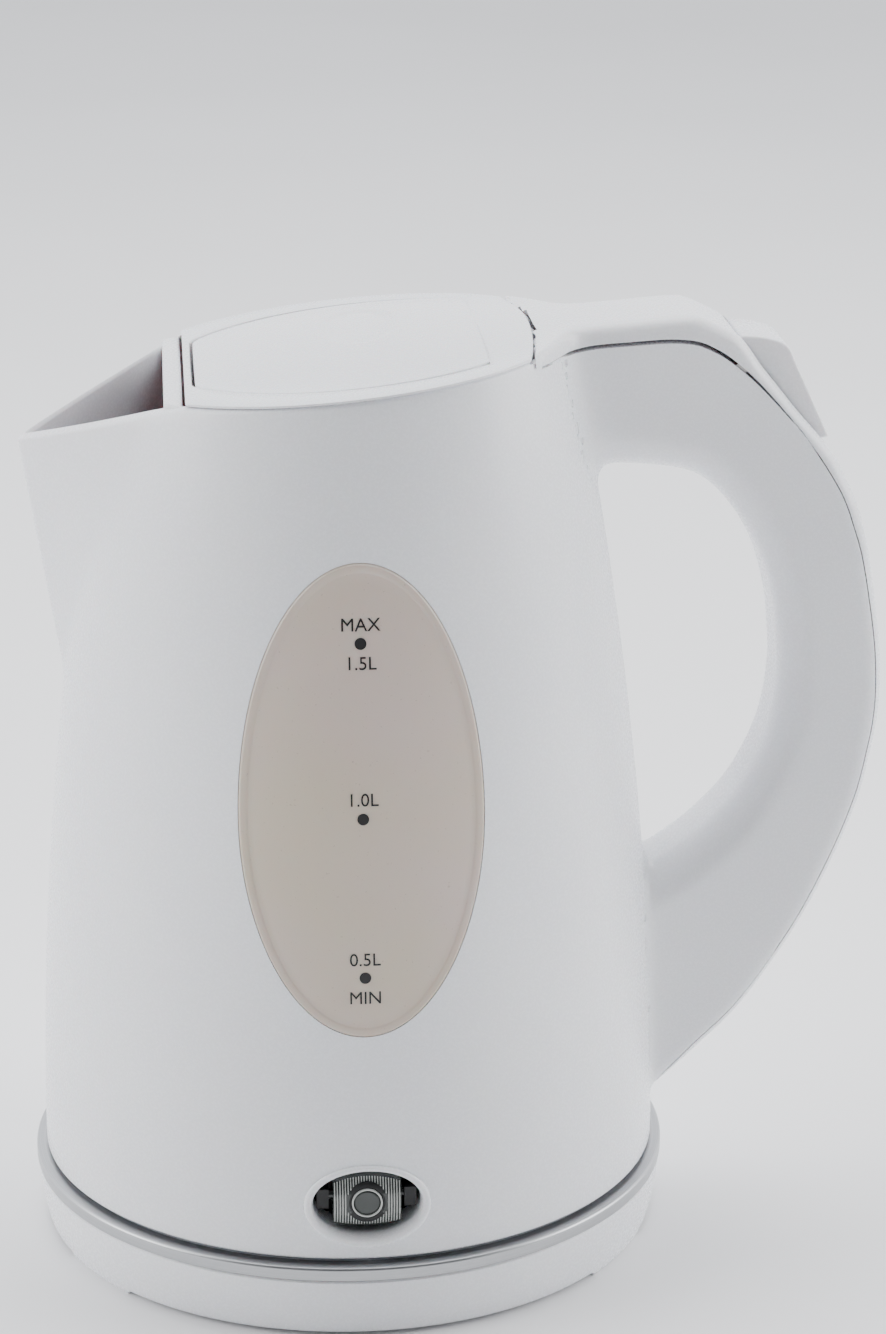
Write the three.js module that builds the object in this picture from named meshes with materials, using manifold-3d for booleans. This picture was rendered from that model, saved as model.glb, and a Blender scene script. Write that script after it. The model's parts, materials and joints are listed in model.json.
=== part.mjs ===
// Cordless electric kettle, 1.5 litres, seated on its power base.
// Millimetres, +Z up. The origin is on the base's axis, level with the table.
// The spout points to -X, the handle to +X, the water window and the switch face -Y.

import * as THREE from 'three';
import { mergeVertices } from 'three/addons/utils/BufferGeometryUtils.js';
import Module from 'manifold-3d';

const wasm = await Module();
wasm.setup();

// ---------------------------------------------------------------- driving dimensions

const GAP = 0.3; // between pieces that touch or are pressed together
const RUN = 0.6; // between pieces that slide or turn past each other
const PLAY = 0.1; // between a pin and the hole it turns in
const WALL = 2.5; // moulded jug wall
const ROUND = 48; // facets round a large turned piece
const SMALL_ROUND = 24; // facets round a small turned piece
const CURVE = 12; // steps along each arc of a flat outline

const base = {
  radius: 76.7, // outside of the metal trim ring
  height: 18.4, // top of the trim ring
  ringWidth: 4.3, // flat top face of the trim ring
  ringDrop: 3.2, // depth of its outer side
  ringWall: 1.1,
  discTop: 18.0,
  discThickness: 2.2,
  skirtWall: 2.2,
  skirtTaper: 2.4, // how far the skirt leans in at its foot
  footLift: 1.2, // the skirt's edge stands this high between its feet
  footAngles: [33, 147, 213, 327],
  footSpan: 18,
  plateThickness: 2.0,
};

const gland = { radius: 4.9, bore: 3.3, height: 8.9, from: base.radius - 9.7, to: base.radius + 0.3 };

const connector = {
  pinHole: 1.95, // radius
  rings: [2.85, 2.5, 3.0], // wall of each raised ring, from the middle outwards
  slots: [2.4, 3.0, 2.8], // width of the slot outside each ring
  collarWall: 1.6,
  flangeWidth: 4.5,
  top: 33.6,
  floor: 19.0,
  contact: 0.4, // thickness of a contact ring
};

/** Inner and outer radius of each raised ring, and then of the collar. */
const ringRadii = [...connector.rings, connector.collarWall].reduce((radii, wallWidth, i) => {
  const inner = i === 0 ? connector.pinHole : radii[i - 1][1] + connector.slots[i - 1];
  return [...radii, [inner, inner + wallWidth]];
}, []);
const [collarBore, collarRadius] = ringRadii.at(-1);
const flangeRadius = collarRadius + connector.flangeWidth;

const jug = {
  seat: 19.5, // height of the jug's lower edge above the table when it is on its base
  footRadius: 74.2,
  topRadius: 53.3,
  taperHeight: 192.6, // height at which the jug has its top radius
  taperPower: 1.92,
  floor: 34.0, // top of the heating plate
};

const top = {
  height: 194.95, // the lid's edge plane where it crosses the axis
  slope: Math.atan(0.1), // the plane rises towards the handle
  seamDrop: 1.8, // the jug's upper edge lies this far below the lid's edge plane
  front: -36.8, // straight front of the frame
};

const lid = {
  centre: 3.2,
  radius: jug.topRadius - 9.1, // the frame's band round it is 9.1 wide
  front: top.front + 2.6,
  tongueFrom: 31.0,
  tongueTo: 43.0,
  crown: 4.9, // height of the dome over the edge plane
  crownCentre: 6.0,
  crownRadius: 183.0,
  skin: 2.2,
  shadowGap: 0.7,
};

const hinge = {
  u: 41.0,
  w: -3.0,
  barrel: 3.8,
  heel: [1.6, 4.8], // half width and reach of the nub under each barrel
  sweep: 5.4, // the lid's rear edge stays inside this radius as it turns
  ear: 2.4,
  pin: 1.25,
  springHalf: 4.6,
  knuckleTo: 12.0,
  earTo: 16.0,
};

const spout = {
  keelLow: [-66.2, 118.4],
  tip: [-75.1, 174.8],
  rimRoot: [-41.7, 188.3],
  keelRadius: 3.4,
  wall: 2.4,
  halfWidth: 34.0,
  angleLow: 66.0, // half angle between its sides where the keel leaves the jug
  angleHigh: 44.0, // the same at the rim's root
};

const handle = {
  width: 30.0,
  wall: 3.5,
  coverGap: 0.5,
  coverSkin: 2.2,
  outer: [[43.4, 200.4], [58.6, 201.6], [76.7, 203.0], [81.5, 202.5], [86.3, 200.2], [92, 195.6],
    [99.7, 186.8], [107.4, 177.2], [113.5, 168.6], [118.9, 157.5], [122.7, 143.3], [125.2, 126.8],
    [126.0, 115], [124.7, 98.3], [121.9, 85.3], [115.9, 69.2], [107.3, 51.8], [95, 33.2],
    [84.1, 21.8], [75.4, 12.6]],
  seam: [[43.4, 196.0], [56.7, 197.2], [74.0, 198.2], [80.2, 197.6], [87.7, 193.8], [97.5, 184.4],
    [107.0, 172.6], [113.0, 161.5], [118.0, 149], [121.5, 133], [122.8, 116], [121.5, 99],
    [118.4, 85], [112.8, 70], [104.4, 52.6], [92.4, 34.8], [81.8, 23.8], [74.2, 15.6]],
  opening: [[58.4, 154], [59.4, 160.0], [61.6, 163.7], [65.4, 165.8], [70, 166.3], [76, 165.9], [82.1, 164.0],
    [89, 157.2], [96.7, 145.4], [101.6, 126.7], [102.1, 115.3], [100.9, 104.9], [98.1, 95.8], [92.4, 85.2],
    [82.9, 75.2], [73, 69.6], [62, 67]],
  flare: [[38, 36], [41.5, 34], [44.5, 28.5], [48, 21.5], [53, 16.8], [60, 15]],
};

const lever = {
  x: 90.4,
  z: 190.5,
  halfWidth: 10.0,
  hub: 4.0, // radius of the boss on its pin
  hubHalf: 6.0,
  pin: 1.5,
  reach: 28.2,
  arm: 14.0,
  armBack: 4.2,
};

const pusher = { half: 3.6, headHalf: 9.4, low: 189.5, high: 192.3, head: [45.0, 48.8] };

const windowPane = { centre: 102.8, up: 57.1, down: 48.9, half: 27.3, thickness: 2.2 };

const eye = {
  height: 13.1,
  half: [14.45, 10.1], // outside of the bezel, sideways and up
  opening: [12.1, 8.2],
  pivotY: 7.2 - jug.footRadius,
  rockerHalf: 7.7,
  rockerTall: 6.6,
  pin: 1.2,
  earHalf: 2.3,
  earTo: 11.3,
};

const plate = { seal: 2.5, thickness: 1.2, elementTube: 3.6, controlRadius: 0.4 * jug.footRadius };

const finish = {
  white: { color: 0xf1f1f4, roughness: 0.35, metalness: 0.0 },
  grey: { color: 0xb9babd, roughness: 0.5, metalness: 0.0 },
  black: { color: 0x17181a, roughness: 0.45, metalness: 0.0 },
  steel: { color: 0xb7b6b4, roughness: 0.3, metalness: 1.0 },
  copper: { color: 0xb87333, roughness: 0.35, metalness: 1.0 },
  alloy: { color: 0xc4c6c8, roughness: 0.4, metalness: 1.0 },
  smoke: { color: 0xc9bdb0, roughness: 0.2, metalness: 0.0 },
  clear: { color: 0x9aa09a, roughness: 0.1, metalness: 0.0 },
  silicone: { color: 0xdcdcd8, roughness: 0.7, metalness: 0.0 },
  amber: { color: 0xd98a3a, roughness: 0.3, metalness: 0.0 },
};

// ---------------------------------------------------------------- solids

/** A closed three.js geometry as a manifold solid with its faces pointing out. */
function solid(geometry) {
  const bare = geometry.clone();
  bare.deleteAttribute('normal');
  bare.deleteAttribute('uv');
  const welded = mergeVertices(bare, 1e-4);
  const index = welded.index.array;
  const kept = [];
  for (let i = 0; i < index.length; i += 3) {
    const [a, b, c] = [index[i], index[i + 1], index[i + 2]];
    if (a !== b && b !== c && c !== a) kept.push(a, b, c);
  }
  const vertProperties = new Float32Array(welded.attributes.position.array);
  const build = (triVerts) => new wasm.Manifold(new wasm.Mesh({ numProp: 3, vertProperties, triVerts }));
  const made = build(new Uint32Array(kept));
  return made.volume() > 0 ? made : build(new Uint32Array(kept).reverse());
}

const join = (first, ...rest) => rest.reduce((sum, piece) => sum.add(piece), first);
const cut = (first, ...rest) => rest.reduce((left, piece) => left.subtract(piece), first);
const common = (first, ...rest) => rest.reduce((left, piece) => left.intersect(piece), first);

/** Solid of revolution about +Z from a closed [radius, height] profile. */
function turned(profile, facets = ROUND) {
  const points = profile.map(([r, z]) => new THREE.Vector2(r, z));
  if (profile[0][0] > 0 || profile.at(-1)[0] > 0) points.push(points[0].clone());
  return solid(new THREE.LatheGeometry(points, facets).rotateX(Math.PI / 2));
}

/** Ring of rectangular section. */
const ring = (inner, outer, low, high, facets = ROUND) =>
  turned([[inner, low], [outer, low], [outer, high], [inner, high]], facets);

/** Round bar along an axis, from one end to the other. */
function rod(axis, radius, from, to, at = [0, 0, 0], facets = SMALL_ROUND) {
  const geometry = new THREE.CylinderGeometry(radius, radius, to - from, facets);
  geometry.translate(0, (from + to) / 2, 0);
  if (axis === 'x') geometry.rotateZ(-Math.PI / 2);
  if (axis === 'z') geometry.rotateX(Math.PI / 2);
  return solid(geometry.translate(...at));
}

function block(x0, x1, y0, y1, z0, z1) {
  const geometry = new THREE.BoxGeometry(x1 - x0, y1 - y0, z1 - z0);
  return solid(geometry.translate((x0 + x1) / 2, (y0 + y1) / 2, (z0 + z1) / 2));
}

function extruded(shape, depth, curveSegments) {
  return new THREE.ExtrudeGeometry(shape, { depth, bevelEnabled: false, curveSegments });
}

/** Prism of an outline in X and Y between two heights. */
const prismXY = (shape, low, high, segments = 14) =>
  solid(extruded(shape, high - low, segments).translate(0, 0, low));

/** Prism of an outline in X and Z between two values of Y. */
const prismXZ = (shape, from, to, segments = 14) =>
  solid(extruded(shape, to - from, segments).rotateX(Math.PI / 2).translate(0, to, 0));

/** Prism of an outline in Y and Z between two values of X. */
function prismYZ(shape, from, to, segments = 24) {
  const turn = new THREE.Matrix4().makeBasis(
    new THREE.Vector3(0, 1, 0), new THREE.Vector3(0, 0, 1), new THREE.Vector3(1, 0, 0));
  return solid(extruded(shape, to - from, segments).applyMatrix4(turn).translate(from, 0, 0));
}

const outline = (points) => new THREE.Shape(points.map(([x, y]) => new THREE.Vector2(x, y)));

/** Points along a smooth curve through a few chosen ones. */
function smooth(points, count) {
  const curve = new THREE.SplineCurve(points.map(([x, y]) => new THREE.Vector2(x, y)));
  return curve.getSpacedPoints(count).map((p) => [p.x, p.y]);
}

/** The same run of points, moved sideways: to its right for a positive distance. */
function beside(points, distance) {
  return points.map(([x, y], i) => {
    const [ax, ay] = points[Math.max(i - 1, 0)];
    const [bx, by] = points[Math.min(i + 1, points.length - 1)];
    const length = Math.hypot(bx - ax, by - ay);
    return [x + (distance * (by - ay)) / length, y - (distance * (bx - ax)) / length];
  });
}

const ellipse = (cx, cy, rx, ry) => new THREE.Shape().absellipse(cx, cy, rx, ry, 0, 2 * Math.PI, false, 0);

/** Solid skinned over a stack of outlines that have the same number of points. */
function lofted(sections) {
  const count = sections[0].length;
  const position = sections.flat(2);
  const index = [];
  for (let s = 0; s + 1 < sections.length; s += 1) {
    for (let i = 0; i < count; i += 1) {
      const [a, b] = [s * count + i, s * count + ((i + 1) % count)];
      index.push(a, b, a + count, b, b + count, a + count);
    }
  }
  const last = (sections.length - 1) * count;
  for (let i = 1; i + 1 < count; i += 1) {
    index.push(0, i + 1, i, last, last + i, last + i + 1);
  }
  const geometry = new THREE.BufferGeometry();
  geometry.setAttribute('position', new THREE.Float32BufferAttribute(position, 3));
  geometry.setIndex(index);
  return solid(geometry);
}

/** Bar of round section along a curve, with closed ends. */
function bentBar(curve, radius, steps, sides = 10) {
  const section = new THREE.Shape(new THREE.EllipseCurve(0, 0, radius, radius).getPoints(sides).slice(0, -1));
  return solid(new THREE.ExtrudeGeometry(section, { steps, bevelEnabled: false, extrudePath: curve }));
}

/** Adds a solid to a group as a named mesh with its own material. */
function place(group, name, made, look) {
  const mesh = made.getMesh();
  const geometry = new THREE.BufferGeometry();
  geometry.setAttribute('position', new THREE.BufferAttribute(mesh.vertProperties, 3));
  geometry.setIndex(new THREE.BufferAttribute(mesh.triVerts, 1));
  geometry.computeVertexNormals();
  const piece = new THREE.Mesh(geometry, new THREE.MeshStandardMaterial(look));
  piece.name = name;
  group.add(piece);
}

// ---------------------------------------------------------------- power base

function baseSkirt() {
  const lip = base.height - base.ringDrop - GAP;
  const outer = base.radius - GAP;
  const ledgeIn = base.radius - base.ringWidth - 4;
  const lean = (z) => outer - base.skirtTaper * ((lip - z) / lip) ** 1.6;
  const low = [0, 4, 8, 12].map((z) => [lean(z), z]);
  const shell = turned([...low, [outer, lip], [ledgeIn, lip], [ledgeIn, lip - 2],
    [outer - base.skirtWall, lip - 4], [lean(0) - base.skirtWall, 0]]);
  const between = base.footAngles.map((angle, i) => {
    const from = THREE.MathUtils.degToRad(angle + base.footSpan / 2);
    const next = base.footAngles[(i + 1) % base.footAngles.length] + (i + 1 < base.footAngles.length ? 0 : 360);
    const to = THREE.MathUtils.degToRad(next - base.footSpan / 2);
    const sector = new THREE.Shape();
    sector.moveTo(0, 0);
    sector.absarc(0, 0, base.radius + 5, from, to, false);
    sector.lineTo(0, 0);
    return prismXY(sector, -1, base.footLift);
  });
  const glandHole = rod('y', gland.radius + GAP, gland.from - 5, gland.to + 5, [0, 0, gland.height]);
  return cut(shell, ...between, glandHole);
}

function trimRing() {
  const { radius, height, ringWidth, ringDrop, ringWall } = base;
  const inner = radius - ringWidth;
  return turned([[radius - ringWall, height - ringDrop], [radius, height - ringDrop], [radius, height - 0.6],
    [radius - 0.6, height], [inner, height], [inner, height - ringWall], [radius - ringWall, height - ringWall]]);
}

function baseDisc() {
  const { discTop, discThickness } = base;
  const outer = base.radius - base.ringWidth - GAP;
  return ring(flangeRadius + GAP, outer, discTop - discThickness, discTop);
}

function basePlate() {
  const outer = base.radius - base.skirtTaper - base.skirtWall - 2 * GAP;
  const low = base.footLift - 0.2;
  const holes = screwPlaces(baseScrewRadius).map(([x, y]) => rod('z', 3.3, low - 1, low + 10, [x, y, 0]));
  const high = low + base.plateThickness;
  return cut(turned([[0, low], [outer, low], [outer, high], [0, high]]), ...holes);
}

const baseScrewRadius = base.radius - 24.7;

const screwPlaces = (radius) => [90, 210, 330].map((angle) => {
  const turn = THREE.MathUtils.degToRad(angle);
  return [radius * Math.cos(turn), radius * Math.sin(turn)];
});

/** Countersunk screw standing on its head, with a cross recess. */
function screw([x, y], headLow, length) {
  const body = turned([[0, 0], [2.7, 0], [2.7, 1.2], [1.4, 2.4], [1.4, length], [0, length]], 14);
  const slot = join(block(-1.7, 1.7, -0.35, 0.35, -1, 0.7), block(-0.35, 0.35, -1.7, 1.7, -1, 0.7));
  return cut(body, slot).translate([x, y, headLow]);
}

function baseConnector() {
  const { top: high, floor, pinHole } = connector;
  const flangeTop = base.discTop - 0.6;
  const shell = turned([[0, flangeTop - 1.6], [flangeRadius, flangeTop - 1.6], [flangeRadius, flangeTop],
    [collarRadius, flangeTop], [collarRadius, high], [collarBore, high], [collarBore, floor],
    [0, floor]]);
  const raised = ringRadii.slice(0, -1)
    .map(([inner, outer]) => ring(inner, outer, floor - 0.5, high, SMALL_ROUND));
  return cut(join(shell, ...raised), rod('z', pinHole, floor - 1, high + 1));
}

function buildBase(group) {
  place(group, 'base_skirt', baseSkirt(), finish.white);
  place(group, 'base_trim_ring', trimRing(), finish.steel);
  place(group, 'base_disc', baseDisc(), finish.white);
  place(group, 'base_bottom_plate', basePlate(), finish.grey);
  place(group, 'base_connector', baseConnector(), finish.black);
  const lining = (slot) => {
    const outer = ringRadii[slot + 1][0] - GAP;
    return ring(outer - connector.contact, outer, connector.floor + GAP, connector.top - 2.6, SMALL_ROUND);
  };
  place(group, 'base_contact_neutral', lining(1), finish.copper);
  place(group, 'base_contact_live', lining(0), finish.copper);
  const bore = rod('y', gland.bore, gland.from - 1, gland.to + 1);
  const bush = cut(rod('y', gland.radius, gland.from, gland.to), bore);
  place(group, 'cord_gland', bush.translate([0, 0, gland.height]), finish.black);
  screwPlaces(baseScrewRadius).forEach((spot, i) => {
    place(group, `base_screw_${i + 1}`, screw(spot, base.footLift + 0.2, 9), finish.steel);
  });
}

// ---------------------------------------------------------------- jug

const jugRadius = (z) =>
  jug.footRadius - (jug.footRadius - jug.topRadius) * (Math.max(z, 0) / jug.taperHeight) ** jug.taperPower;

const padRadius = jug.footRadius - 8.2;
const jugScrewRadius = jug.footRadius - 14.2;

/** The jug's round form, moved in or out by a distance, between two heights. */
function jugForm(grow, low, high, facets = ROUND) {
  const steps = Math.max(2, Math.round((high - low) / 18));
  const side = Array.from({ length: steps + 1 }, (_, i) => {
    const z = low + ((high - low) * i) / steps;
    return [jugRadius(z) + grow, z];
  });
  return turned([[0, low], ...side, [0, high]], facets);
}

const JUG_CEILING = 212;

/** From the lid's own frame, along and square to its sloping edge plane, to the jug's. */
const slope = new THREE.Matrix4()
  .makeTranslation(0, 0, top.height)
  .multiply(new THREE.Matrix4().makeRotationY(-top.slope));

const tilted = (made) => made.transform(slope.elements);

const aboveEdgePlane = (w, reach = 60) => tilted(block(-90, 90, -90, 90, w, w + reach));

/** One outline of the spout: a rounded V that widens from the keel back into the jug. */
function spoutSection(z, inset) {
  const [lowX, lowZ] = spout.keelLow;
  const lean = (spout.tip[0] - lowX) / (spout.tip[1] - lowZ);
  const share = (spout.rimRoot[1] - z) / (spout.rimRoot[1] - lowZ);
  const angle = THREE.MathUtils.degToRad(spout.angleHigh + (spout.angleLow - spout.angleHigh) * share);
  const centre = lowX + lean * (z - lowZ) + spout.keelRadius;
  const radius = spout.keelRadius - inset;
  const half = spout.halfWidth - inset;
  const arc = [-1, -0.5, 0, 0.5, 1].map((t) => {
    const turn = Math.PI + t * (Math.PI / 2 - angle);
    return [centre + radius * Math.cos(turn), radius * Math.sin(turn)];
  });
  const shoulder = arc[0][0] + (half - arc[0][1]) / Math.tan(angle);
  const back = Math.max(shoulder + 1, -30);
  return [[back, half, z], [shoulder, half, z], ...arc.map(([x, y]) => [x, y, z]), [shoulder, -half, z],
    [back, -half, z]];
}

const spoutForm = (inset, low, high) => {
  const steps = 6;
  const heights = Array.from({ length: steps + 1 }, (_, i) => low + ((high - low) * i) / steps);
  return lofted(heights.map((z) => spoutSection(z, inset)));
};

/** Everything above the spout's sloping rim, ahead of the frame. */
function aboveRim() {
  const [tipX, tipZ] = spout.tip;
  const [rootX, rootZ] = spout.rimRoot;
  const rise = (rootZ - tipZ) / (rootX - tipX);
  const far = tipZ - rise * 20;
  return prismXZ(outline([[tipX - 20, far], [rootX, rootZ], [rootX, 240], [tipX - 20, 240]]), -60, 60);
}

/** The window's egg outline in X and Z, grown by a clearance. */
function paneOutline(grow) {
  const { centre, up, down, half } = windowPane;
  const points = Array.from({ length: 40 }, (_, i) => {
    const turn = (2 * Math.PI * i) / 40;
    const reach = Math.sin(turn) > 0 ? up : down;
    return [(half + grow) * Math.cos(turn), centre + (reach + grow) * Math.sin(turn)];
  });
  return outline(points);
}

const eyeOutline = ([half, tall], grow) => ellipse(0, eye.height, half + grow, tall + grow);

function jugShell() {
  const inside = jugForm(-WALL, -5, JUG_CEILING);
  const wall = cut(jugForm(0, 0, JUG_CEILING - 4), inside);
  const beak = cut(spoutForm(0, 108, 200), inside, aboveRim());
  const channel = spoutForm(spout.wall, 124, 214);
  const deck = common(block(spout.rimRoot[0] + 0.4, top.front - GAP, -40, 40, 181, 205), jugForm(0, 170, 206));
  const ledge = ring(jugRadius(jug.floor) - WALL - 3, jugRadius(jug.floor) - WALL + 0.5, jug.floor + 1.6,
    jug.floor + 3.4);
  const underCover = block(42.8, 70, -36, 36, handle.seam[0][1] - handle.coverGap, 220);
  return cut(
    join(cut(join(wall, beak), channel), deck, ledge),
    aboveEdgePlane(-top.seamDrop),
    underCover,
    rodWay(),
    prismXZ(paneOutline(GAP), -100, -30),
    prismXZ(eyeOutline(eye.half, GAP), -100, -50),
  );
}

function waterWindow() {
  const skin = cut(jugForm(-0.2, 40, 170), jugForm(-0.2 - windowPane.thickness, 30, 180));
  return common(skin, prismXZ(paneOutline(0), -100, -30));
}

function spoutFilter() {
  const [inner, outer] = [WALL + 2.0, WALL + 0.4];
  const panel = cut(jugForm(-outer, 126, 182), jugForm(-inner, 120, 190));
  const edge = common(panel, block(-70, -30, -27, 27, 126, 181));
  const windows = [];
  for (let row = 0; row < 4; row += 1) {
    for (let column = -2; column <= 1; column += 1) {
      const y = column * 12.5 + 1;
      windows.push(block(-80, -20, y, y + 10.5, 129.5 + row * 12.5, 140 + row * 12.5));
    }
  }
  return cut(edge, ...windows);
}

// ---------------------------------------------------------------- lid and frame

/** The lid's plan: a circle with a straight front, cut off square at the back. */
function lidPlan(grow, back) {
  const radius = lid.radius + grow;
  const front = lid.front - grow;
  const at = (u) => Math.sqrt(radius ** 2 - (u - lid.centre) ** 2);
  const shape = new THREE.Shape();
  shape.moveTo(front, -at(front));
  const start = Math.atan2(-at(front), front - lid.centre);
  if (back < lid.centre + radius) {
    const end = Math.atan2(-at(back), back - lid.centre);
    shape.absarc(lid.centre, 0, radius, start, end, false);
    shape.absarc(lid.centre, 0, radius, -end, -start, false);
  } else {
    shape.absarc(lid.centre, 0, radius, start, -start, false);
  }
  return shape;
}

/** The tongue's plan: the full width of the jug, with a bowed rear edge. */
function tonguePlan(grow) {
  const half = 46;
  const bow = 4.8;
  const to = lid.tongueTo + grow;
  const shape = new THREE.Shape();
  shape.moveTo(lid.tongueFrom - grow, -half);
  shape.lineTo(to - bow, -half + 8);
  shape.quadraticCurveTo(to + bow, 0, to - bow, half - 8);
  shape.lineTo(lid.tongueFrom - grow, half);
  return shape;
}

/** The lid's round part in its own frame, between two heights and as far back as a given line. */
const lidRound = (grow, low, high, back) => {
  const plan = prismXY(lidPlan(grow, lid.tongueFrom + 3), low, high, CURVE);
  return common(plan, block(-90, back, -90, 90, low - 1, high + 1));
};

/** Lid form in its own frame: plan of the lid and its tongue between two heights. */
function lidBlock(grow, low, high) {
  const round = lidRound(grow, low, high, lid.tongueFrom + 3);
  const edge = jugRadius(top.height) - 0.2 + grow;
  const within = turned([[0, low - 1], [edge, low - 1], [edge, high + 1], [0, high + 1]]);
  const tongue = common(prismXY(tonguePlan(grow), low, high), within);
  return join(round, tongue);
}

/** Height of the dome above the edge plane at a distance from its centre. */
const domeHeight = (r) => lid.crown - r ** 2 / (2 * lid.crownRadius);

function dome(lower, grow = 0) {
  const radii = [60, 45, 30, 15];
  const over = radii.map((r) => [r, domeHeight(r) - lower + grow]);
  const profile = [[0, -40], [60, -40], ...over, [0, lid.crown - lower + grow]];
  return turned(profile, 28).translate([lid.crownCentre, 0, 0]);
}

const hingeRod = (radius, from, to, facets = SMALL_ROUND) =>
  rod('y', radius, from, to, [hinge.u, 0, hinge.w], facets);

function lidTop() {
  const plan = lidBlock(0, -3.4, 8);
  const skin = cut(common(plan, dome(0)), dome(lid.skin));
  const rim = cut(common(lidRound(0, -3.4, 8, lid.tongueFrom + 1), dome(0)), lidRound(-2, -4, 8, lid.tongueFrom));
  const overJug = ring(jugRadius(top.height) - WALL - 1.2, 70, -20, -top.seamDrop + 0.4);
  const clearEars = [-1, 1].map((side) => {
    const [near, far] = side < 0 ? [-hinge.earTo - RUN, -hinge.knuckleTo] : [hinge.knuckleTo, hinge.earTo + RUN];
    const over = hinge.w + hinge.ear + RUN;
    return join(hingeRod(hinge.ear + RUN, near, far), block(lid.tongueFrom - 2, hinge.u, near, far, -20, over));
  });
  const { u, w, knuckleTo, springHalf } = hinge;
  const [heelHalf, heelReach] = hinge.heel;
  const heel = block(u - heelHalf, u + heelHalf, -knuckleTo, knuckleTo, w - heelReach, w);
  const web = common(block(u - 8, u + 1.6, -knuckleTo, knuckleTo, w, 8), dome(0));
  const knuckles = join(hingeRod(hinge.barrel, -knuckleTo, knuckleTo), heel, web);
  const springWay = block(u - 7, u + 7, -springHalf, springHalf, -20, domeHeight(34) - 1.6);
  const low = cut(block(-90, 90, -90, 90, -20, w - 0.4), block(u - 6, u + 6, -knuckleTo, knuckleTo, -20, 0));
  return tilted(cut(join(skin, rim, knuckles), springWay, low, overJug, ...clearEars,
    hingeRod(hinge.pin + PLAY, -20, 20)));
}

function lidInner() {
  const form = lidRound(-3.6, -9, -3.7, 28.4);
  const hollow = lidRound(-5.6, -7, 0, 26.4);
  return tilted(cut(form, hollow));
}

function lidSeal() {
  return tilted(cut(lidRound(-1.2, -7.6, -5.4, 29.6), lidRound(-3.3, -9, -3, 28.7)));
}

function topFrame() {
  const grow = lid.shadowGap;
  const outside = new THREE.Shape();
  outside.moveTo(top.front, -60);
  outside.lineTo(hinge.u + 14, -60);
  outside.lineTo(hinge.u + 14, 60);
  outside.lineTo(top.front, 60);
  const behind = block(lid.tongueFrom - 0.6, 80, -70, 70, -5, 5);
  const band = cut(prismXY(outside, -1.5, 0), lidBlock(grow, -5, 5), behind);
  const sloped = common(band, turned([[0, -20], [70, -20], [70, -2.4], [44, 0], [0, 0]]));
  const level = new THREE.Matrix4().copy(slope).invert();
  const flush = common(sloped, jugForm(0, 170, JUG_CEILING).transform(level.elements));
  const wallOut = lidRound(grow + 1.7, -11.8, -1.2, 33.2);
  const wallIn = lidRound(grow, -20, 5, 31.4);
  const collar = cut(wallOut, wallIn);
  const flange = cut(turned([[0, -11.8], [49.2, -11.8], [49.2, -10.2], [0, -10.2]]),
    block(-90, top.front, -90, 90, -20, 20), lidRound(-5.0, -20, 5, 27.0),
    block(hinge.u + hinge.heel[0] + 1, 60, -pusher.headHalf - RUN, pusher.headHalf + RUN, -20, 5));
  const arms = [-1, 1].map((side) => {
    const [near, far] = side < 0 ? [-hinge.earTo, -hinge.knuckleTo - RUN] : [hinge.knuckleTo + RUN, hinge.earTo];
    const arm = block(31.8, hinge.u, near, far, hinge.w - hinge.ear, hinge.w + hinge.ear);
    return join(arm, hingeRod(hinge.ear, near, far));
  });
  const rearCut = cut(block(30, 60, -60, 60, -4.2, 10), ...arms);
  return tilted(cut(join(cut(join(flush, collar, flange), rearCut), ...arms),
    hingeRod(hinge.pin + PLAY, -20, 20)));
}

/** Torsion spring wound round a pin, with a straight leg at each end. */
function torsionSpring(coil, wire, turns, length, legs) {
  const perTurn = 8;
  const steps = turns * perTurn;
  const points = [new THREE.Vector3(-legs[0], -length / 2, coil)];
  for (let i = 0; i <= steps; i += 1) {
    const turn = (2 * Math.PI * i) / perTurn;
    points.push(new THREE.Vector3(coil * Math.sin(turn), (length * i) / steps - length / 2, coil * Math.cos(turn)));
  }
  points.push(new THREE.Vector3(legs[1], length / 2, coil));
  return bentBar(new THREE.CatmullRomCurve3(points), wire, Math.round(steps * 1.5), 6);
}

// ---------------------------------------------------------------- handle

const outerLine = smooth(handle.outer, 36);
const seamLine = smooth(handle.seam, 34);
const openingLine = smooth(handle.opening, 38);

/** The handle's plan seen from above: full width at the jug, narrowing to the grip. */
function handlePlan(grow, front) {
  const flare = smooth(handle.flare, 10).filter(([x]) => x > front + 0.5);
  const side = [[front, handle.flare[0][1]], ...flare, [160, handle.width / 2]];
  const near = side.map(([x, y]) => [x, y + grow]);
  return outline([...near, ...near.map(([x, y]) => [x, -y]).reverse()]);
}

/** The lever's swing: nothing of the cover reaches into it. */
function leverPocket(grow) {
  const half = lever.halfWidth + grow;
  const swing = rod('y', lever.reach + grow, -half, half, [lever.x, 0, lever.z], 64);
  return cut(swing, block(-200, lever.x - grow, -90, 90, 0, 240));
}

const leverPinHole = () =>
  rod('y', lever.pin + PLAY, 1.2 - handle.width / 2, handle.width / 2 - 1.2, [lever.x, 0, lever.z]);

/** The passage for the push rod, from the handle through the jug's wall. */
const rodWay = () => block(44, 72, -pusher.half - RUN, pusher.half + RUN, pusher.low - 1.4, 200);

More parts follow.
